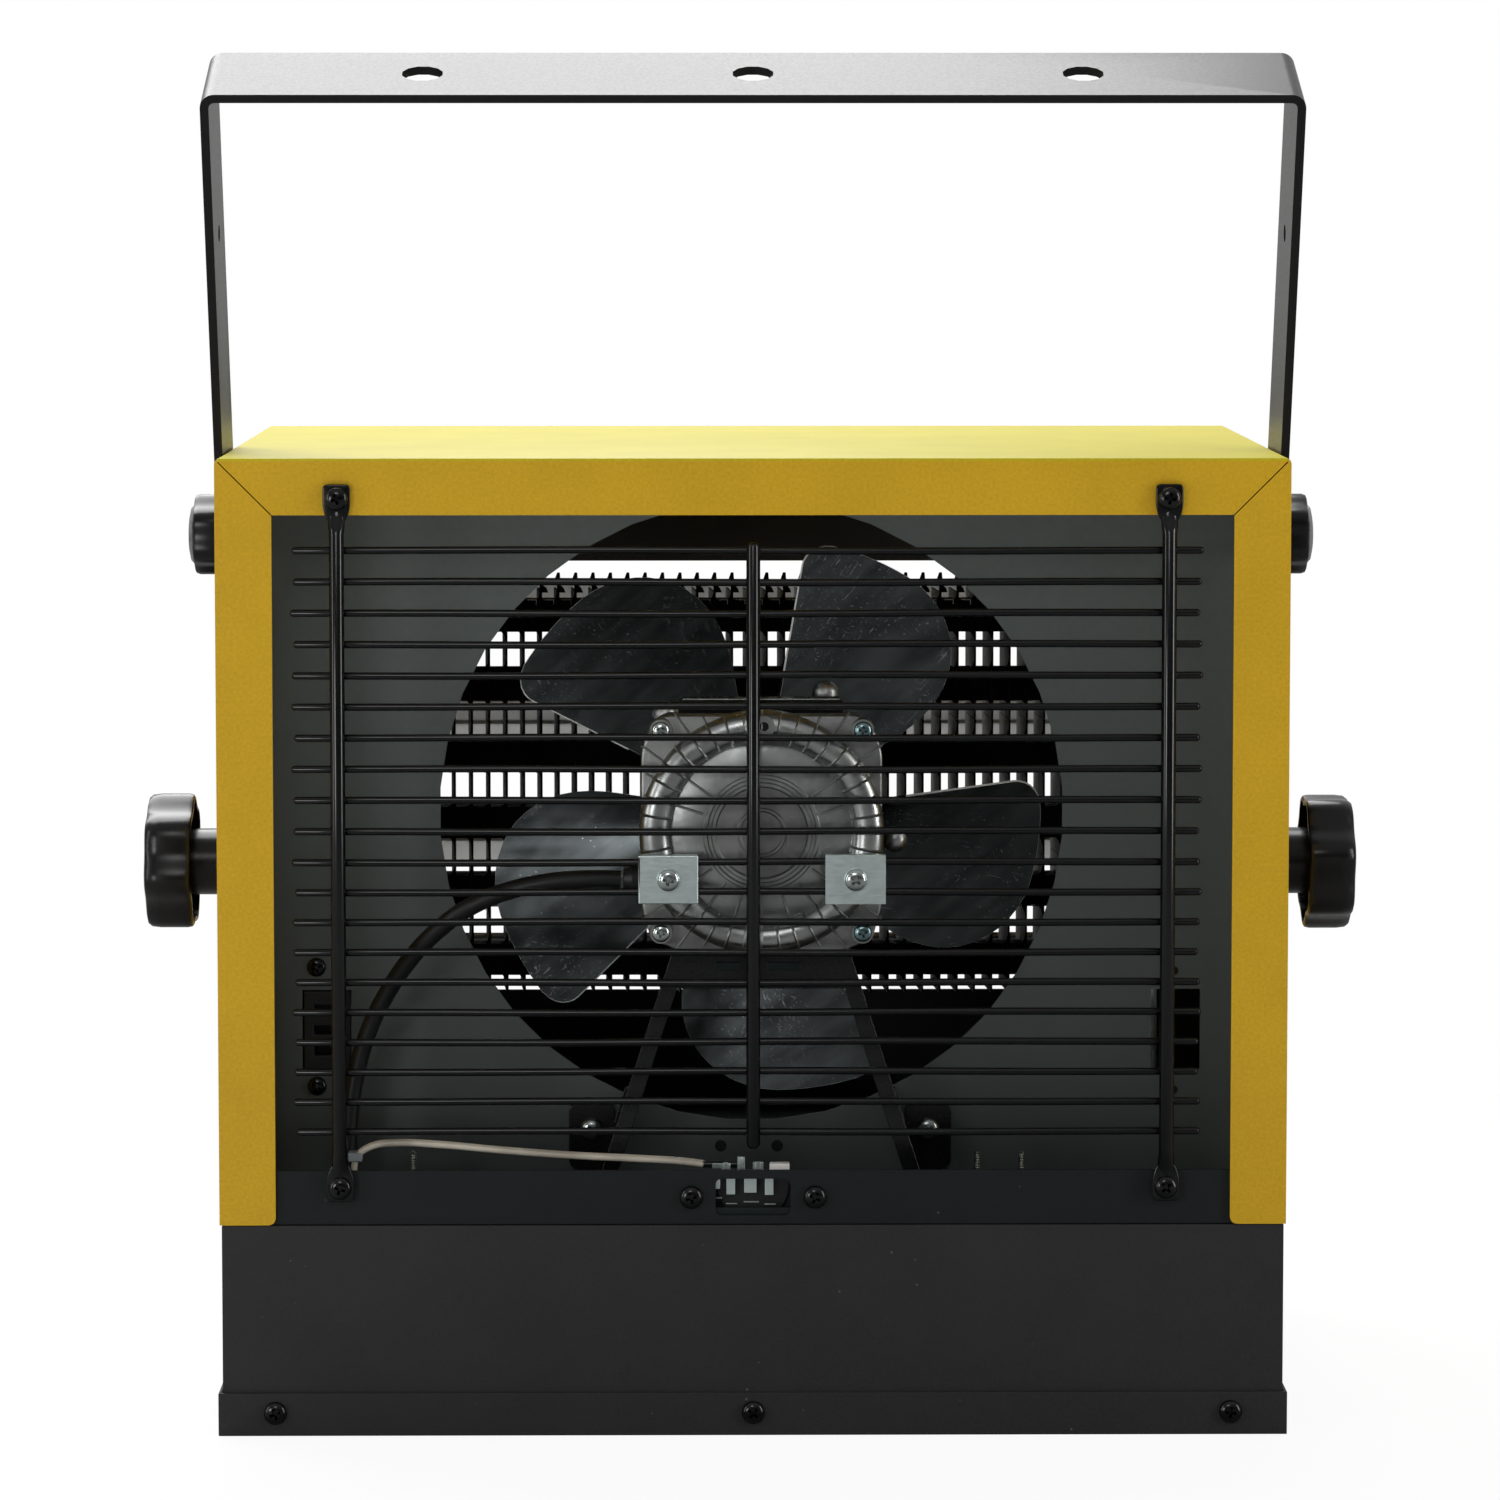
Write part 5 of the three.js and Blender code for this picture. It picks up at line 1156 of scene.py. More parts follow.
@dataclass
class Motor:
    """Cast rear bell, lamination stack, front bell, stand, clips and cable."""

    x: float = 3.0
    z: float = 210.0
    rear: float = -117.9
    ring: float = 37.0
    tube: float = 5.4
    crown: float = 4.2
    hub: float = 16.4
    flange_front: float = 14.4
    flange_depth: float = 9.0
    flange_round: float = 0.9
    scores: int = 40
    score_width: float = 0.5
    score_rise: float = 0.55
    spokes: int = 20
    spoke_gap: tuple[int, int] = (3, 7)
    rib_half: float = 0.75
    rib_crest_share: float = 0.15
    tie: float = 34.9
    tie_levels: tuple[float, float] = (35.9, -34.4)
    tie_share: float = 0.8
    oil_hole: tuple[float, float] = (0.8, 37.3)
    tabs_at: tuple[tuple[float, float], ...] = ((-16.4, -7.2), (2.1, 14.2))
    tab_levels: tuple[float, float] = (-51.4, -48.6)
    cable_radius: float = 3.2

    def place(self, x: float = 0, y: float = 0, z: float = 0) -> Matrix:
        """A place measured from the motor's axis at its rear face, looking out to the rear."""
        return at(self.x + x, self.rear + y, self.z + z) @ Axis.REAR.value

    def build(self, head: PanHead) -> None:
        """Makes the motor and what holds it.

        Args:
            head: the screw head's template.
        """
        self.bell()
        refined("motor_stator", "motor_laminations", STEEL, 0.3)
        refined("motor_front_bell", "motor_nose", CASTING, 0.4, 50)
        refined("motor_shaft", "motor_spindle", STEEL, 0.2, 50)
        refined("motor_stand", "motor_stand_frame", STAND_BLACK, 0.6)
        self.tabs()
        for hand, side in HANDS:
            refined(f"guard_clip_{hand}", f"guard_clip_plate_{hand}", ZINC, 0.9, 40)
            washer_screw(head, f"clip_fixing_{hand}", f"clip_screw_{hand}", SCREW_ZINC, 20 + 30 * side)
            washer_screw(head, f"stand_fixing_{hand}", f"stand_screw_{hand}", SCREW_ZINC, 35)
        self.tie_screws(head)
        self.cover()
        self.cable()

    def tabs(self) -> None:
        """Two bent tabs that show under the motor, on the stand's apron."""
        face = extent("motor_stand").rear
        foot, top = (self.z + level for level in self.tab_levels)
        bm = bmesh.new()
        for start, end in self.tabs_at:
            block(bm, (self.x + start, face - 0.5, foot), (self.x + end, face + 0.2, top))
        to_piece(bm, "motor_stand_tabs", HEATER, SLATE, edge=0.2)

    @staticmethod
    def outline() -> list[tuple[float, float]]:
        """The bell's flange seen from the rear, x to the right and z up."""
        half = [(36.5, 40.6, 5), (41.8, 29, 4), (41.8, -26, 4), (38.3, -37.5, 3), (28.4, -41.6, 3)]
        return rounded(half + [(-x, z, r) for x, z, r in reversed(half)])

    def web(self) -> list[tuple[float, float]]:
        """Lays out the turned part of the casting.

        Returns:
            Its half section as (radius, height) points, from the hub over the web and the ring.
        """
        arc = [(self.ring + self.tube * math.cos(a), self.crown * (math.sin(a) - 1))
               for a in (math.pi * k / 12 for k in range(13))]
        hub = [(0, -3.9), (7.1, -3.9), (7.6, -3.3), (8.3, -3.3), (8.7, -4.3), (15.6, -4.5), (16.2, -3.4),
               (17.2, -3.4), (17.6, -3.9), (18.6, -3.9), (19.1, -2.9), (20.0, -2.9), (20.4, -3.5),
               (30.6, -3.6)]
        back = -self.flange_depth
        return [*hub, *reversed(arc), (self.ring + self.tube, back), (0, back), hub[0]]

    def bell(self) -> None:
        """The rear casting: flange, ring, web, scored ribs and hub, and its oil hole as a disc of painted
        shade.
        """
        bm = bmesh.new()
        prism(bm, self.outline(), self.flange_depth, self.place(y=self.flange_front))
        corners = [e for e in bm.edges if e.is_manifold and e.calc_face_angle() > 1.0]
        bevelled(bm, corners, self.flange_round, 3)
        turned(bm, self.web(), self.place(), 96)
        for k in range(self.scores):
            self.score(bm, math.tau * k / self.scores)
        first, last = self.spoke_gap
        for k in range(self.spokes):
            if not first <= k <= last:
                spin = Matrix.Rotation(math.tau * k / self.spokes, 4, "Z")
                self.ridge(bm, (21.5, 32.6), (-4.4, -2.4), self.place() @ spin)
        for z in self.tie_levels:
            for _, side in HANDS:
                rod(bm, 4.1, 5.2, self.place(self.tie * side, 5.6, z), 32, 3.8)
        self.lines(bm)
        oil_x, oil_z = self.oil_hole
        rod(bm, 4.2, 6.5, self.place(oil_x, 6.3, oil_z), 28, 3.7)
        piece = to_piece(bm, "motor_rear_casting", HEATER, CASTING, ["motor_rear_bell"], 32)
        self.finish_bell(piece)
        # the oil hole is a disc of painted shade
        hole = bmesh.new()
        rod(hole, 1.6, 0.25, self.place(oil_x, 0.0, oil_z), 20)
        to_piece(hole, "motor_oil_hole", HEATER, HOLE_SHADE_AND_JOINT)

    def finish_bell(self, piece: bpy.types.Object) -> None:
        """Gives the casting's ring and hub finishes of their own.

        Args:
            piece: the rear casting.
        """
        piece.data.materials.append(CAST_RING.material())
        piece.data.materials.append(CAST_HUB.material())
        for face in piece.data.polygons:
            away = math.hypot(face.center.x - self.x * MM, face.center.z - self.z * MM) / MM
            on_ring = abs(away - self.ring) < self.tube and face.center.y < (self.rear + 5) * MM
            face.material_index = 1 if on_ring else 2 if away < self.hub else 0

    def score(self, bm: BMesh, angle: float) -> None:
        """Adds a thin ridge across the ring.

        Args:
            bm: the mesh under construction.
            angle: where it lies on the ring, in radians.
        """
        spin = Matrix.Rotation(angle, 4, "Z")
        oval = Matrix.Diagonal((1, self.crown / self.tube, 1, 1))
        wide = self.score_width
        low, high = self.tube, self.tube + self.score_rise
        for half, start, tip in ((-wide, low, high), (0, high, low)):
            where = self.place() @ spin @ at(self.ring, -half, -self.crown) @ Axis.REAR.value @ oval
            rod(bm, start, wide, where, 32, tip)

    def ridge(self, bm: BMesh, reach: tuple[float, float], rise: tuple[float, float], where: Matrix) -> None:
        """Adds a straight rib along X with sloping sides.

        Args:
            bm: the mesh under construction.
            reach: its two ends along X, in millimetres.
            rise: its foot and crest along Z.
            where: the place and direction.
        """
        verts = block(bm, (reach[0], -self.rib_half, rise[0]), (reach[1], self.rib_half, rise[1]))
        for vert in verts:
            if vert.co.z > (rise[0] + rise[1]) / 2 * MM:
                vert.co.y *= self.rib_crest_share
        bmesh.ops.transform(bm, matrix=where, verts=verts)

    def lines(self, bm: BMesh) -> None:
        """Adds the flow ribs that fan out over the corners of the flange.

        Args:
            bm: the mesh under construction.
        """
        for corner in (1, 3, 5, 7):
            for turn, reach in ((-18, 45.0), (-9, 51.5), (9, 51.5), (18, 45.0)):
                spin = Matrix.Rotation(corner * math.pi / 4 + math.radians(turn), 4, "Z")
                self.ridge(bm, (41.5, reach), (-6.4, -4.5), self.place() @ spin)

    def cover(self) -> None:
        """The lip of the winding cover over the laminations, and a thin bright rod along its top edge that
        paints the edge's highlight.
        """
        bm = bmesh.new()
        lip = rounded([(-29, 36, 1), (29, 36, 1), (29, 44.6, 2.4), (-29, 44.6, 2.4)])
        prism(bm, lip, 10.0, self.place(y=33.0))
        to_piece(bm, "motor_cover_lip", HEATER, STAND_BLACK, edge=0.4)
        # painted highlight: a thin zinc rod stands for the light line on the lip's top edge
        edge_highlight = bmesh.new()
        rod(edge_highlight, 0.4, 55.0, self.place(-27.5, 22.9, 44.5) @ Axis.X.value, 12)
        to_piece(edge_highlight, "motor_cover_edge_highlight", HEATER, SCREW_ZINC)

    def tie_screws(self, head: PanHead) -> None:
        """Four screws that tie the motor together.

        Args:
            head: the screw head's template.
        """
        for (hand, side), finish in zip(HANDS, (SCREW_ZINC, BLUE_ZINC)):
            bm = bmesh.new()
            for k, z in enumerate(self.tie_levels):
                turn = Matrix.Rotation(0.4 + side + 2 * k, 4, "Z")
                head.stamp(bm, self.place(self.tie * side, 0.35, z) @ turn, self.tie_share)
            to_piece(bm, f"motor_tie_screws_{hand}", HEATER, finish)

    def cable(self) -> None:
        """The cable from the gland to the grommet, with both of these."""
        route = [(-46, -101, 192), (-53, -101, 192.2), (-61, -100.5, 192), (-71, -99.5, 191),
                 (-84, -97, 188), (-98, -93.5, 182), (-110, -89, 173), (-121, -84, 161),
                 (-130, -80, 147), (-136, -77.5, 134), (-140, -76.3, 120), (-142.3, -76, 106),
                 (-143, -76, 94), (-143, -76, 84), (-143, -76, 77)]
        lead("motor_lead", route, self.cable_radius, RUBBER, "motor_cable")
        refined("motor_gland", "motor_lead_gland", RUBBER, 0.3, 40)
        refined("cable_grommet", "deck_lead_grommet", RUBBER, 0.3, 40)


def lead(name: str, route: Sequence[Sequence[float]], radius: float, finish: Finish,
         node: str) -> bpy.types.Object:
    """A round lead of the heater along given points, with closed ends.

    Args:
        name: the piece's name.
        route: its points, in millimetres.
        radius: of the lead, in millimetres.
        finish: its surface.
        node: the frame's node that it stands for.
    Returns:
        The new object.
    """
    curve = bpy.data.curves.new(name, "CURVE")
    curve.dimensions = "3D"
    curve.bevel_depth = radius * MM
    curve.bevel_resolution = 4
    curve.resolution_u = 6
    curve.use_fill_caps = True
    line = curve.splines.new("BEZIER")
    line.bezier_points.add(len(route) - 1)
    for point, spot in zip(line.bezier_points, route):
        point.co = Vector(spot) * MM
        point.handle_left_type = point.handle_right_type = "AUTO"
    curve.materials.append(finish.material())
    return enrolled(bpy.data.objects.new(name, curve), HEATER, [node])


@dataclass
class Fan:
    """Five pressed blades on a hub, each held by a domed rivet."""

    x: float = 3.0
    y: float = -58.0
    z: float = 210.0
    blades: int = 5
    radius: float = 99.5
    sheet: float = 1.2
    root: float = 14.0
    reach: float = 13.0
    corner: float = 9.0
    lead_angle: float = 8.5
    span_angle: float = 52.0
    corner_share: float = 0.12
    shoulder_share: float = 0.42
    trail_share: float = 0.52
    camber_share: float = 0.22
    taper_share: float = 0.75
    rim_from: float = 21.0
    rim_round: float = 0.45
    rivet_share: float = 0.37
    rivet_reach: float = 49.0
    rivet_radius: float = 4.6
    rivet_rise: float = 4.2

    def tip(self, u: float) -> float:
        """Gives the blade's outer radius.

        Args:
            u: from 0 at the straight edge to 1 at the trailing lobe.
        Returns:
            The radius in millimetres.
        """
        trail = self.radius * self.trail_share
        if u < self.corner_share:
            away = 1 - u / self.corner_share
            return self.radius - self.corner * (1 - math.sqrt(1 - away * away))
        if u > self.shoulder_share:
            along = (u - self.shoulder_share) / (1 - self.shoulder_share)
            return trail + (self.radius - trail) * math.sqrt(max(0.0, 1 - along * along))
        return self.radius

    def point(self, u: float, radius: float) -> Vector:
        """Gives a place on the blade's middle surface.

        Args:
            u: from 0 at the straight edge to 1 at the trailing lobe.
            radius: how far from the axis, in millimetres.
        Returns:
            The place in millimetres from the fan's centre.
        """
        angle = math.radians(self.lead_angle - u * self.span_angle)
        reach = self.reach * (radius / self.radius) ** self.taper_share
        camber = self.reach * self.camber_share * (1 - (2 * u - 1) ** 2)
        return Vector((radius * math.cos(angle), (2 * u - 1) * reach + camber, radius * math.sin(angle)))

    def build(self) -> None:
        """Makes the blades, hub and rivets."""
        blades, rivets = bmesh.new(), bmesh.new()
        centre = at(self.x, self.y, self.z)
        for k in range(self.blades):
            spin = centre @ Matrix.Rotation(math.tau * k / self.blades, 4, "Y")
            self.blade(blades, spin)
            self.rivet(rivets, spin)
        hub = [(4.5, -8.5), (12, -8.5), (13.5, -7.4), (18.3, -6.6), (19, -5.8), (19, 4.8), (18, 6),
               (14, 6.5), (13, 8.5), (4.5, 8.5), (4.5, -8.5)]
        turned(blades, hub, centre @ Axis.Y.value, 48)
        self.paint_edge_highlights(to_piece(blades, "fan_blades", "fan_rotor", BLADE_METAL, ["fan"], 40))
        to_piece(rivets, "fan_rivets", "fan_rotor", RIVET)

    def paint_edge_highlights(self, piece: bpy.types.Object) -> None:
        """Gives the blades rounded cut edges in a near-white finish, a painted highlight along each edge.

        Args:
            piece: the fan.
        """
        # painted highlight on the cut edges
        piece.data.materials.append(BLADE_EDGE_HIGHLIGHT.material())
        for face in piece.data.polygons:
            away = math.hypot(face.center.x - self.x * MM, face.center.z - self.z * MM)
            face.material_index = int(abs(face.normal.y) < 0.5 and away > self.rim_from * MM)
        edge = piece.modifiers.new("edge", "BEVEL")
        edge.width = self.rim_round * MM
        edge.segments = 2
        edge.material = 1

    def blade(self, bm: BMesh, spin: Matrix) -> None:
        """Adds one blade: a grid laid on the surface and given its thickness.

        Args:
            bm: the mesh under construction.
            spin: the fan's centre, turned to the blade.
        """
        across, along = 28, 12
        grid = bmesh.ops.create_grid(bm, x_segments=across, y_segments=along, size=0.5)["verts"]
        for vert in grid:
            u = (1 - math.cos(math.pi * (vert.co.x + 0.5))) / 2
            share = vert.co.y + 0.5
            vert.co = self.point(u, self.root + (self.tip(u) - self.root) * share) * MM
        bmesh.ops.transform(bm, matrix=spin, verts=grid)
        faces = list({f for v in grid for f in v.link_faces})
        bmesh.ops.recalc_face_normals(bm, faces=faces)
        bmesh.ops.solidify(bm, geom=faces, thickness=self.sheet * MM)

    def rivet(self, bm: BMesh, spin: Matrix) -> None:
        """Adds a domed rivet on a blade's rear face.

        Args:
            bm: the mesh under construction.
            spin: the fan's centre, turned to the blade.
        """
        seat = self.point(self.rivet_share, self.rivet_reach)
        foot = 0.6
        profile = [(0, -1.5), (self.rivet_radius, -1.5), (self.rivet_radius, foot)]
        profile += [(self.rivet_radius * math.cos(a), foot + self.rivet_rise * math.sin(a))
                    for a in (math.pi * k / 16 for k in range(1, 9))]
        turned(bm, profile, spin @ at(seat.x, seat.y, seat.z) @ Axis.REAR.value, 28)


@dataclass(frozen=True)
class Element:
    """One heating element's place, taken from its node's box, in millimetres."""

    name: str
    centre: float
    half_depth: float

    @property
    def node(self) -> str:
        """The frame's node."""
        return f"heating_element_{self.name}"

    @property
    def is_top(self) -> bool:
        """Whether it is the uppermost one, whose fins end in hooks."""
        return self.name == "top"


@dataclass
class Heat:
    """Three finned elements between two end plates, with louvers behind them."""

    y: float = 30.0
    reach: float = 158.0
    tube_radius: float = 5.8
    tube_pitch: float = 25.5
    gap: float = 0.15
    fins: int = 45
    fin_pitch: float = 6.4
    fin_half: float = 0.35
    fin_shift: float = -1.0
    fin_lean: float = 4.6
    top_margin: float = 8.6
    foil: float = 0.7
    band_half: float = 5.9
    band_width: float = 6.0
    # fin faces turned to -X right of this place take the painted light colour
    lit_side_from: float = -30.0

    def build(self) -> None:
        """Makes the elements, plates and louvers."""
        for name in ("top", "middle", "bottom"):
            low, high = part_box(f"heating_element_{name}")
            self.element(Element(name, low.z / MM + self.tube_pitch - self.gap, (high.y - low.y) / MM / 2))
        for hand, _ in HANDS:
            refined(f"element_end_plate_{hand}", f"element_bracket_{hand}", ZINC, 0.3)
        for number in range(1, 5):
            refined(f"louver_{number}", f"louver_blade_{number}", LOUVER_GREY, 0.3)

    def element(self, element: Element) -> None:
        """One element: its U of tube, its fins with painted light on the faces that turn to -X, and their
        bright collars.

        Args:
            element: where it sits.
        """
        tubes, fins, lips = bmesh.new(), bmesh.new(), bmesh.new()
        for side in (-1, 1):
            start = at(-self.reach, self.y, element.centre + side * self.tube_pitch / 2)
            rod(tubes, self.tube_radius, 2 * self.reach, start @ Axis.X.value, 20)
        self.bend(tubes, element.centre)
        for k in range(self.fins):
            self.fin(fins, lips, (k - (self.fins - 1) / 2) * self.fin_pitch, element)
        to_piece(tubes, f"element_tube_{element.name}", HEATER, TUBE_BLACK, [element.node])
        plates = to_piece(fins, f"element_fins_{element.name}", HEATER, FIN_STEEL)
        # painted light on the fin faces turned to -X, right of lit_side_from
        plates.data.materials.append(FIN_SIDE_LIT.material())
        for face in plates.data.polygons:
            face.material_index = int(face.normal.x < -0.8 and face.center.x > self.lit_side_from * MM)
        to_piece(lips, f"element_collars_{element.name}", HEATER, FIN_LIP)

    def bend(self, bm: BMesh, centre: float) -> None:
        """Adds the half turn of tube at the left end.

        Args:
            bm: the mesh under construction.
            centre: the height between the element's two tubes, in millimetres.
        """
        start = at(-self.reach, self.y, centre + self.tube_pitch / 2) @ Axis.X.value
        ring = bmesh.ops.create_circle(bm, segments=20, radius=self.tube_radius * MM, matrix=start)["verts"]
        edges = list({e for v in ring for e in v.link_edges})
        bmesh.ops.spin(bm, geom=ring + edges, cent=Vector((-self.reach, self.y, centre)) * MM,
                       axis=(0, 1, 0), dvec=(0, 0, 0), angle=-math.pi, steps=14)

    def fin(self, fins: BMesh, lips: BMesh, x: float, element: Element) -> None:
        """Adds a plate fin with its dark collar bands, and a hook on top of the upper element.

        Args:
            fins: the mesh of the dark parts.
            lips: the mesh of the bright collar lips.
            x: the fin's place along X, in millimetres.
            element: the element that it belongs to.
        """
        rear = self.y - element.half_depth
        low = element.centre - self.tube_pitch + self.gap
        over = self.tube_pitch / 2 + self.top_margin if element.is_top else self.tube_pitch - self.gap
        high = element.centre + over
        turn = Matrix.Rotation(math.radians(self.fin_lean), 4, "Z")
        block(fins, (-self.fin_half, -element.half_depth, low), (self.fin_half, element.half_depth, high),
              at(x + self.fin_shift, self.y, 0) @ turn)
        if element.is_top:
            hook = [(-0.5, 0), (2.6, 0), (2.0, 1.6), (0.9, 2.6), (0.5, 7.4), (-0.5, 7.4), (-1.3, 5.2),
                    (-0.6, 3)]
            prism(fins, hook, self.foil, at(x, rear + self.foil, high) @ Axis.REAR.value)
        flare = [(0, 0), (-1.9, 0), (-1.0, 1.0), (-0.5, 2.4), (0, 4.6)]
        for side in (-1, 1):
            band = element.centre + side * self.tube_pitch / 2
            block(fins, (x - 0.3, rear, band - self.band_half),
                  (x + self.band_width, rear + 1.0, band + self.band_half))
            for way in (-1, 1):
                prism(fins, [(u, v * way) for u, v in flare], self.foil,
                      at(x, rear + self.foil, band + self.band_half * way) @ Axis.REAR.value)
        lip = element.centre + self.tube_pitch / 2 + (5.3 if element.is_top else -6.1)
        block(lips, (x + 1.4, rear - 0.3, lip + 0.5), (x + 4.8, rear + 0.1, lip + 0.8))
        block(lips, (x + 4.5, rear - 0.3, lip - 1.1), (x + 4.8, rear + 0.1, lip + 0.5))


@dataclass
class Electrics:
    """Limit switch with its leads, and the socket in the fan panel."""

    lead_radius: float = 1.1
    lead_half_step: float = 1.3
    ear: float = 12.4
    lap: float = 0.4
    band: float = 4.0
    disc_radius: float = 12.6
    disc_depth: float = 2.2
    disc_rise: float = 11.0
    disc_flat_angle: float = 24.0
    sleeve_radius: float = 1.2
    sleeve_length: float = 14.5

    def build(self) -> None:
        """Makes the small electric pieces."""
        self.plate()
        self.springs()
        self.switch()
        self.terminals()
        self.leads()
        refined("panel_socket", "panel_socket_block", PART_BLACK, 0.4)

    def leads(self) -> None:
        """The two leads side by side, from the deck to the switch, with the tie at the deck."""
        route = [(-140.5, -88, 76), (-140.3, -88, 86), (-139, -88, 92.4), (-134, -88, 96),
                 (-125, -88.3, 97.2), (-110, -89, 96.7), (-90, -91.5, 95.3), (-65, -94, 93.8),
                 (-42, -95.6, 92.9), (-25, -97.4, 92.2), (-17, -99.5, 91.6)]
        for name, step in (("rear", -self.lead_half_step), ("front", self.lead_half_step)):
            beside = [(x, y + step, z) for x, y, z in route]
            lead(f"limit_wire_{name}", beside, self.lead_radius, SILICONE, f"limit_lead_{name}")
        tie = bmesh.new()
        block(tie, (-142.2, -91.2, 90.9), (-137.2, -84.8, 94.0))
        block(tie, (-140.0, -88.6, 86.0), (-139.0, -87.4, 91.0))
        to_piece(tie, "limit_wire_tie", HEATER, TIE_GREY, edge=0.5)

    def plate(self) -> None:
        """The switch's plate: two ears and a lower band round the window."""
        box = extent("limit_bracket")
        inset = self.ear - self.lap
        bm = bmesh.new()
        block(bm, (box.left, box.rear, box.floor), (box.left + self.ear, box.front, box.top))
        block(bm, (box.right - self.ear, box.rear, box.floor), (box.right, box.front, box.top))
        block(bm, (box.left + inset, box.rear, box.floor),
              (box.right - inset, box.front, box.floor + self.band))
        to_piece(bm, "limit_switch_plate", HEATER, SLATE, ["limit_bracket"], edge=0.2)

    @staticmethod
    def springs() -> None:
        """The contact springs over the plate's band, with a thin line under each."""
        box = extent("limit_bracket")
        bm = bmesh.new()
        places = ((-13.2, -11.5, 85.6), (-9.3, -6.2, 83.6), (-3.1, 1.2, 84.2), (4.1, 7.1, 83.4))
        for left, right, foot in places:
            block(bm, (left, box.rear + 1.4, foot), (right, box.rear + 2.2, box.top + 1.0))
            block(bm, (left - 0.2, box.rear + 0.6, foot - 3.2), (right + 0.8, box.rear + 1.6, foot - 2.8))
        to_piece(bm, "limit_switch_springs", HEATER, ZINC, edge=0.25)

    def switch(self) -> None:
        """The limit switch: a block with a disc in front whose top is cut flat."""
        box = extent("limit_switch")
        flat = math.radians(self.disc_flat_angle)
        arc = [math.pi - flat + (math.pi + 2 * flat) * k / 32 for k in range(33)]
        bm = bmesh.new()
        prism(bm, [(self.disc_radius * math.cos(a), self.disc_radius * math.sin(a)) for a in arc],
              self.disc_depth, at(0, box.rear + 1.5, box.floor + self.disc_rise) @ Axis.REAR.value)
        block(bm, (box.left, box.rear + 1, box.floor), (box.right, box.front, box.floor + self.disc_rise))
        to_piece(bm, "limit_switch_body", HEATER, PART_BLACK, ["limit_switch"], edge=0.3)

    def terminals(self) -> None:
        """The switch's tabs, its ceramic block and the sleeve on the leads' end."""
        box = extent("limit_switch")
        rear, floor, top = box.rear, box.floor, box.top
        tabs = bmesh.new()
        for x, wide, rise in ((-4.1, 1.3, 1.3), (1.8, 1.8, -0.6), (-9.4, 1.6, -1.0)):
            block(tabs, (x - wide, rear + 3, floor + 10.5), (x + wide, rear + 4, top + rise))
            block(tabs, (x - wide / 2, rear + 2.4, top - 3), (x + wide / 2, rear + 3.2, top + rise * 0.6))
        block(tabs, (-14.2, rear + 8, 90.6), (-8.2, rear + 8.6, 92.5))
        to_piece(tabs, "limit_switch_tabs", HEATER, ZINC, edge=0.2)
        ceramic = bmesh.new()
        block(ceramic, (5.8, rear + 2, floor + 15.7), (12.8, rear + 6, floor + 18.1))
        to_piece(ceramic, "limit_switch_ceramic", HEATER, CERAMIC, edge=0.5)
        sleeve = bmesh.new()
        rod(sleeve, self.sleeve_radius, self.sleeve_length, at(-17.5, -100.6, 91.6) @ Axis.X.value, 20)
        to_piece(sleeve, "limit_wire_sleeves", HEATER, SLEEVE, sharp=50)


@dataclass
class Controls:
    """Knobs, switch bodies, terminal block and supply entry."""

    skirt: float = 19.0
    skirt_rise: float = 3.6
    grip_foot: float = 9.4
    mark_half: float = 0.6
    mark_reach: tuple[float, float] = (5.0, 13.5)

    def build(self) -> None:
        """Dresses the control pieces."""
        for node in ("thermostat_knob", "selector_knob"):
            self.knob(node)
        for node in ("thermostat_body", "selector_body"):
            refined(node, f"{node}_case", PART_BLACK, 0.5)
        refined("terminal_block", "terminal_strip", PART_BLACK, 0.4)
        refined("supply_grommet", "supply_entry_ring", RUBBER, 0.3, 40)

    def knob(self, node: str) -> None:
        """A front knob: skirt, domed cap and grip bar with a pointer line.

        Args:
            node: the frame's node, which is also the knob's body.
        """
        low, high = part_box(node)
        centre = (low + high) / 2 / MM
        x, z, back, front = centre.x, centre.z, low.y / MM, high.y / MM
        bm = bmesh.new()
        profile = [(3.3, 0), (self.skirt - 0.4, 0), (self.skirt, 0.5), (self.skirt, self.skirt_rise),
                   (18.2, 4.4), (16.2, 5.2), (15.4, 9), (14.4, 9.8), (0, 10.2), (0, 8.2), (3.3, 8.2),
                   (3.3, 0)]
        turned(bm, profile, at(x, back, z) @ Axis.Y.value, 64)
        grip = rounded([(-2.4, -14.6, 2), (2.4, -14.6, 2), (2.9, 0, 1), (2.4, 14.6, 2), (-2.4, 14.6, 2),
                        (-2.9, 0, 1)])
        prism(bm, grip, front - back - self.grip_foot, at(x, back + self.grip_foot, z) @ Axis.Y.value)
        to_piece(bm, f"{node}_grip", node, KNOB_BLACK, [node], edge=0.4)
        mark = bmesh.new()
        foot, top = self.mark_reach
        block(mark, (x - self.mark_half, front - 0.05, z + foot),
              (x + self.mark_half, front + 0.15, z + top))
        to_piece(mark, f"{node}_pointer", node, CERAMIC)


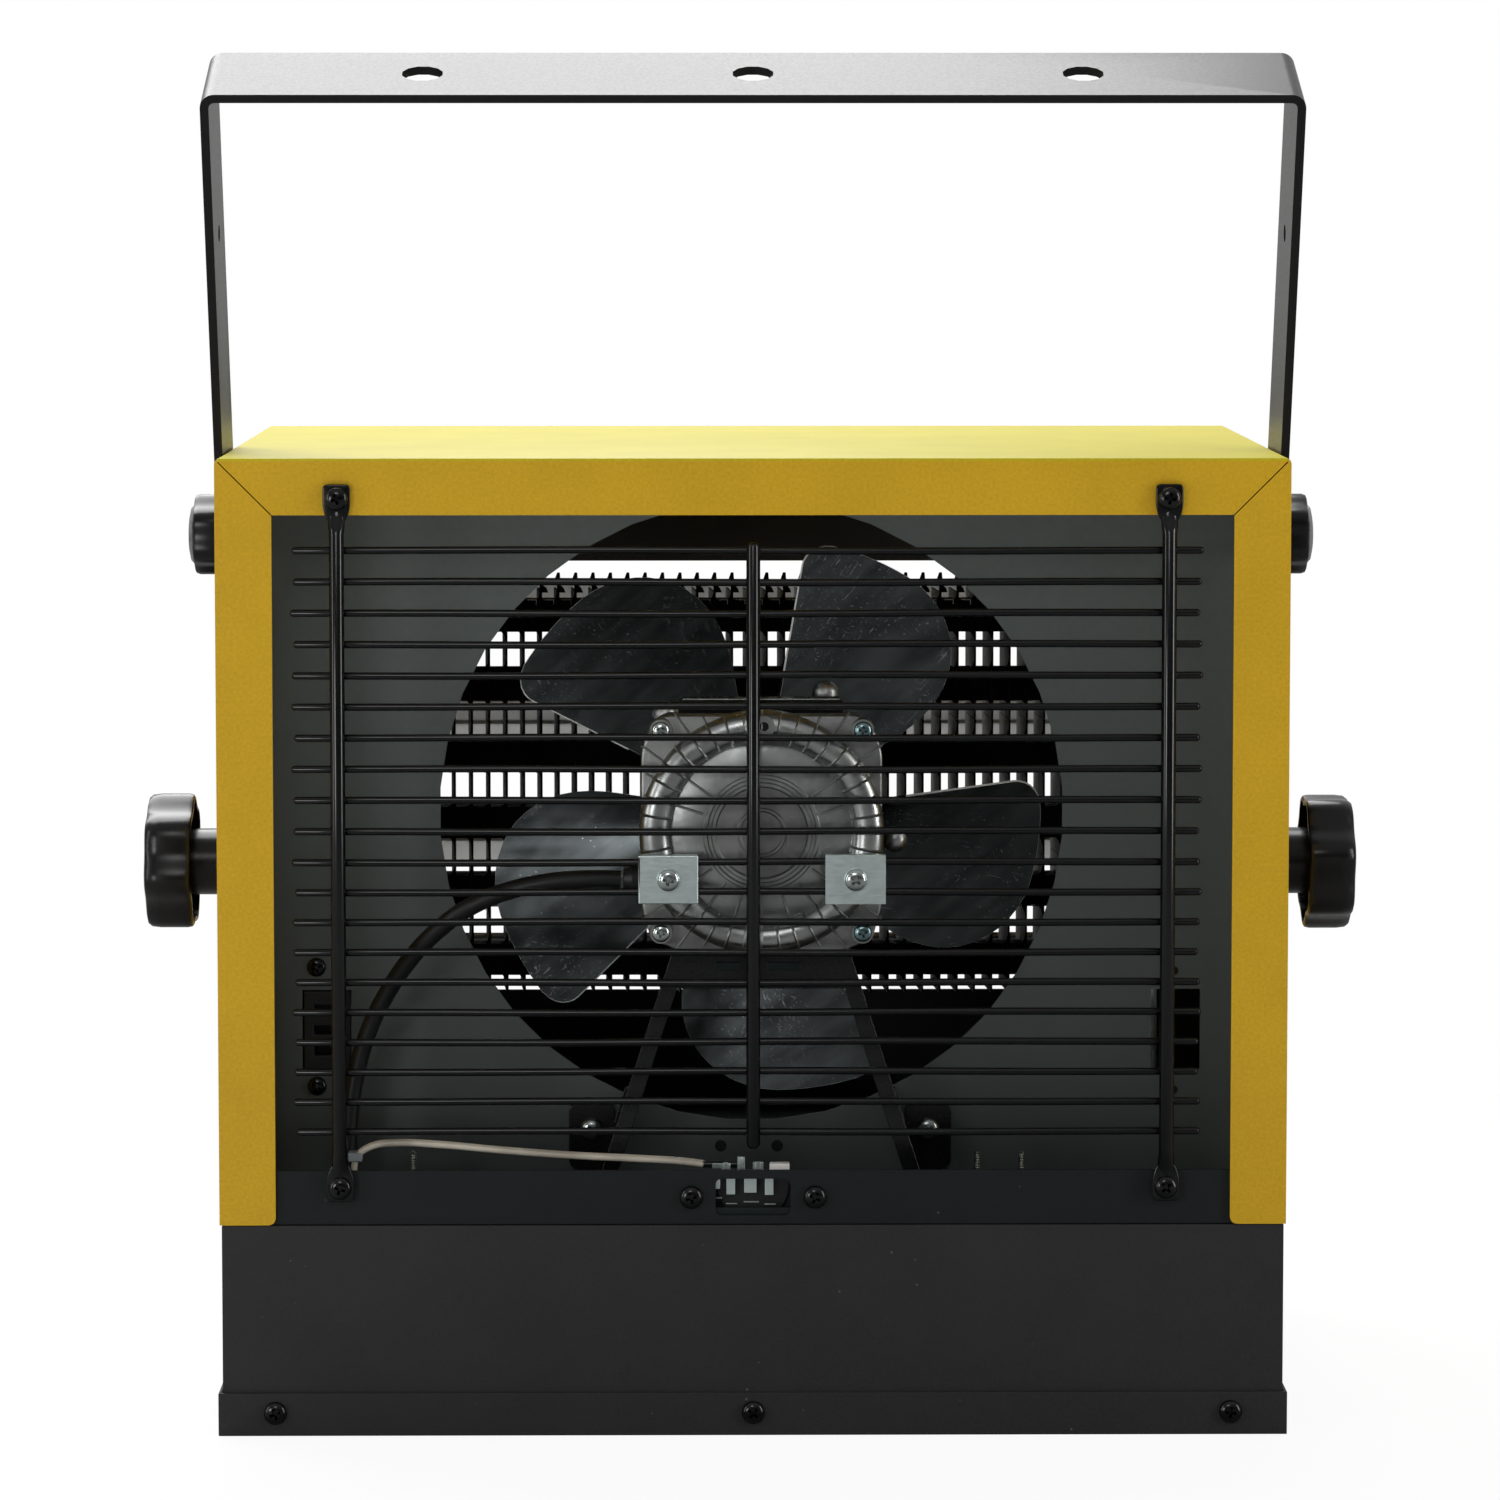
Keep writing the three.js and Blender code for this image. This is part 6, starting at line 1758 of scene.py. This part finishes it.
@dataclass
class Yoke:
    """The swinging bracket with its clamp knobs."""

    lean: float = 21.0
    pivot: float = 186.0
    lock_reach: float = 132.0
    strap_face: float = 188.6
    knob_radius: float = 25.0
    knob_wall: float = 2.6
    knob_lobe: float = 2.6
    knob_lobes: int = 7
    rim: float = 14.5
    stem: float = 12.1
    bore: float = 4.3
    lock_radius: float = 14.3
    lock_lobe: float = 1.6
    lock_lobes: int = 6

    def build(self) -> None:
        """Makes the bracket, knobs and studs."""
        refined("mounting_bracket", "bracket_strap", YOKE_BLACK, 0.45, 30)
        for hand, side in HANDS:
            refined(f"pivot_stud_{hand}", f"pivot_bolt_{hand}", SCREW_ZINC, 0.3, 50)
            refined(f"lock_stud_{hand}", f"lock_bolt_{hand}", SCREW_ZINC, 0.3, 50)
            self.pivot_knob(hand, side)
            self.lock_knob(hand, side)

    @staticmethod
    def lobed(radius: float, lobe: float, lobes: int) -> list[tuple[float, float]]:
        """Draws a lobed outline round the origin.

        Args:
            radius: over the lobes, in millimetres.
            lobe: how deep the hollows between them are.
            lobes: how many there are.
        Returns:
            The outline's points, sixteen to a lobe.
        """
        points = []
        steps = 16 * lobes
        for k in range(steps):
            angle = math.tau * k / steps
            reach = radius - lobe * (1 - math.cos(lobes * angle)) / 2
            points.append((reach * math.cos(angle), reach * math.sin(angle)))
        return points

    def pivot_knob(self, hand: str, side: int) -> None:
        """The large clamp knob: a lobed cap with a hollow underside on a stem.

        Args:
            hand: left or right.
            side: -1 or 1 along X.
        """
        turn = Axis.X if side > 0 else Axis.LEFT
        where = at(self.strap_face * side, 0, self.pivot) @ turn.value
        bm = bmesh.new()
        outer = self.lobed(self.knob_radius, self.knob_lobe, self.knob_lobes)
        self.skin(bm, outer, [(self.rim, 0.955), (15.0, 0.985), (16.5, 1.0), (26.5, 1.0), (29.6, 0.985),
                              (31.0, 0.94), (31.5, 0.86)], where)
        inner = self.lobed(self.knob_radius - self.knob_wall, self.knob_lobe, self.knob_lobes)
        self.skin(bm, inner, [(27.5, 0.97), (27.0, 1.0), (self.rim, 1.02)], where)
        self.bridge_rim(bm, where)
        turned(bm, [(self.bore, 0), (self.stem - 0.7, 0), (self.stem, 0.7), (self.stem, 28), (self.bore, 28),
                    (self.bore, 0)], where, 48)
        to_piece(bm, f"pivot_knob_cap_{hand}", f"pivot_knob_{hand}", KNOB_BLACK,
                 [f"pivot_knob_{hand}"], 35)

    @staticmethod
    def skin(bm: BMesh, outline: Sequence[tuple[float, float]], stations: Sequence[tuple[float, float]],
             where: Matrix) -> None:
        """Skins stacked copies of an outline and closes the uppermost one.

        Args:
            bm: the mesh under construction.
            outline: the points of one copy, in millimetres.
            stations: (height, share of the outline's size) of each copy, rising or falling.
            where: the place and direction.
        """
        height, share = stations[0]
        points = [bm.verts.new((x * share * MM, y * share * MM, height * MM)) for x, y in outline]
        first = [bm.edges.new((points[i - 1], points[i])) for i in range(len(points))]
        edges = first
        everything = list(points)
        for (h0, s0), (h1, s1) in zip(stations, stations[1:]):
            out = bmesh.ops.extrude_edge_only(bm, edges=edges)["geom"]
            ring = [g for g in out if isinstance(g, BMVert)]
            edges = [g for g in out if isinstance(g, BMEdge)]
            bmesh.ops.scale(bm, vec=(s1 / s0, s1 / s0, 1), verts=ring)
            bmesh.ops.translate(bm, verts=ring, vec=(0, 0, (h1 - h0) * MM))
            everything += ring
        rises = stations[0][0] < stations[-1][0]
        bmesh.ops.contextual_create(bm, geom=edges if rises else first)
        bmesh.ops.transform(bm, matrix=where, verts=everything)

    def bridge_rim(self, bm: BMesh, where: Matrix) -> None:
        """Closes the rim between the cap's outer and inner skins.

        Args:
            bm: the mesh under construction.
            where: the knob's place and direction.
        """
        back = where.inverted()
        edges = [e for e in bm.edges if e.is_boundary
                 and all(abs((back @ v.co).z / MM - self.rim) < 0.01 for v in e.verts)]
        bmesh.ops.bridge_loops(bm, edges=edges)

    def lock_knob(self, hand: str, side: int) -> None:
        """The small clamp knob with its grey cap.

        Args:
            hand: left or right.
            side: -1 or 1 along X.
        """
        lean = math.radians(self.lean)
        turn = Axis.X if side > 0 else Axis.LEFT
        where = at(self.strap_face * side, -self.lock_reach * math.sin(lean),
                   self.pivot + self.lock_reach * math.cos(lean)) @ turn.value
        bm = bmesh.new()
        outline = self.lobed(self.lock_radius, self.lock_lobe, self.lock_lobes)
        self.skin(bm, outline, [(0.0, 0.95), (0.6, 1.0), (7.6, 1.0), (9.0, 0.965), (9.4, 0.9)], where)
        bmesh.ops.contextual_create(bm, geom=[e for e in bm.edges if e.is_boundary])
        to_piece(bm, f"lock_knob_grip_{hand}", f"lock_knob_{hand}", KNOB_BLACK,
                 [f"lock_knob_{hand}"], 35)
        cap = bmesh.new()
        profile = [(0, 9.0), (10.4, 9.0), (10.5, 9.7), (9.4, 10.7), (6.5, 11.3), (0, 11.6)]
        turned(cap, profile, where, 48)
        to_piece(cap, f"lock_knob_cap_{hand}", f"lock_knob_{hand}", CAP_GREY)


@dataclass(frozen=True)
class Lamp:
    """A soft rectangular lamp: its place and size in metres and its power in watts."""

    name: str
    place: tuple[float, float, float]
    size: tuple[float, float]
    power: float

    def hang(self, aim: Vector) -> None:
        """Adds the lamp to the scene.

        Args:
            aim: what it looks at, in metres.
        """
        data = bpy.data.lights.new(self.name, "AREA")
        data.shape = "RECTANGLE"
        data.size, data.size_y = self.size
        data.energy = self.power
        lamp = bpy.data.objects.new(self.name, data)
        lamp.location = self.place
        lamp.rotation_euler = (aim - Vector(self.place)).to_track_quat("-Z", "Y").to_euler()
        bpy.context.scene.collection.objects.link(lamp)


@dataclass
class Studio:
    """Camera, lamps, floor and world."""

    place_m: tuple[float, float, float] = (-0.0188, -2.0349, 0.4405)
    pitch: float = 4.436
    yaw: float = 0.517
    lens: float = 134.05
    shift: tuple[float, float] = (0.0008, -0.10133)
    aim_m: tuple[float, float, float] = (0, 0, 0.22)
    floor_half_m: float = 8.0
    lamps: tuple[Lamp, ...] = (
        Lamp("top_box", (-0.48, 1.0, 1.75), (1.9, 1.8), 62),
        Lamp("left_strip", (-1.7, -0.95, 0.55), (0.28, 1.3), 5),
        Lamp("right_strip", (1.7, -0.95, 0.55), (0.35, 1.3), 10.5),
        Lamp("low_left", (-0.9, -1.5, 0.28), (0.35, 0.4), 3),
        Lamp("front_fill", (-0.2, -1.9, 1.1), (0.45, 0.45), 2.6))

    def build(self) -> None:
        """Sets the whole studio up."""
        self.camera()
        self.floor()
        self.world()
        for lamp in self.lamps:
            lamp.hang(Vector(self.aim_m))
        bpy.context.scene.view_settings.view_transform = "Standard"

    def camera(self) -> None:
        """The camera at the photograph's viewing angle."""
        data = bpy.data.cameras.new("camera")
        data.sensor_width = 36
        data.lens = self.lens
        data.shift_x, data.shift_y = self.shift
        data.clip_start, data.clip_end = 0.05, 50
        camera = bpy.data.objects.new("camera", data)
        camera.location = self.place_m
        camera.rotation_euler = (math.radians(90 - self.pitch), 0, math.radians(-self.yaw))
        bpy.context.scene.collection.objects.link(camera)
        bpy.context.scene.camera = camera

    def floor(self) -> None:
        """A pale floor that looks white to the camera but keeps its shadow."""
        bm = bmesh.new()
        bmesh.ops.create_grid(bm, x_segments=1, y_segments=1, size=self.floor_half_m)
        mesh = bpy.data.meshes.new("floor")
        bm.to_mesh(mesh)
        bm.free()
        ground = bpy.data.objects.new("floor", mesh)
        bpy.context.scene.collection.objects.link(ground)
        made = bpy.data.materials.new("floor_white")
        graph = Graph(made)
        path = graph.node("ShaderNodeLightPath")
        away = graph.node("ShaderNodeVectorMath", {"operation": "LENGTH"}, {0: graph.place()})
        plain = graph.spread(Value(graph, away.outputs["Value"]), 0.25, 0.7, 0.93, 1.0)
        seen = Value(graph, path.outputs["Is Camera Ray"]) * plain
        tone = graph.blend(Value(graph, path.outputs["Is Glossy Ray"]), FLOOR_PALE, FLOOR_MIRRORED)
        matt = graph.node("ShaderNodeBsdfDiffuse", None, {"Color": tone})
        glow = graph.node("ShaderNodeEmission", None, {"Color": (1, 1, 1, 1), "Strength": 1.0})
        mix = graph.node("ShaderNodeMixShader", None, {0: seen, 1: matt.outputs[0], 2: glow.outputs[0]})
        graph.node("ShaderNodeOutputMaterial", None, {"Surface": mix.outputs[0]})
        mesh.materials.append(made)

    @staticmethod
    def world() -> None:
        """White to the camera; a studio with a dark side behind the camera to all else."""
        world = bpy.data.worlds.new("studio")
        bpy.context.scene.world = world
        graph = Graph(world)
        way = graph.node("ShaderNodeTexCoord").outputs["Generated"]
        parts = graph.node("ShaderNodeSeparateXYZ", None, {0: way})
        forward = graph.spread(Value(graph, parts.outputs[1]), -0.15, 0.45)
        upward = graph.spread(Value(graph, parts.outputs[2]), 0.1, 0.8)
        path = graph.node("ShaderNodeLightPath")
        camera = Value(graph, path.outputs["Is Camera Ray"])
        glossy = Value(graph, path.outputs["Is Glossy Ray"])
        level = forward * 0.5 + upward * 0.3 + 0.09 - glossy * (1 - forward) * 0.035
        mirrored = glossy * forward * 0.1
        shown = camera + mirrored * (1 - camera)
        strength = level + shown * (1 - level)
        shine = graph.node("ShaderNodeBackground", None, {"Color": (1, 1, 1, 1), "Strength": strength})
        graph.node("ShaderNodeOutputWorld", None, {"Surface": shine.outputs[0]})


def main() -> None:
    """Builds the studio and every sub-assembly in order, and reports each piece."""
    logging.basicConfig(level=logging.INFO, format="%(name)s %(message)s")
    Studio().build()
    head = PanHead()
    Shell().build(head)
    Guard().build(head)
    Motor().build(head)
    Fan().build()
    Heat().build()
    Electrics().build()
    Controls().build()
    Yoke().build()


if __name__ == "__main__":
    main()
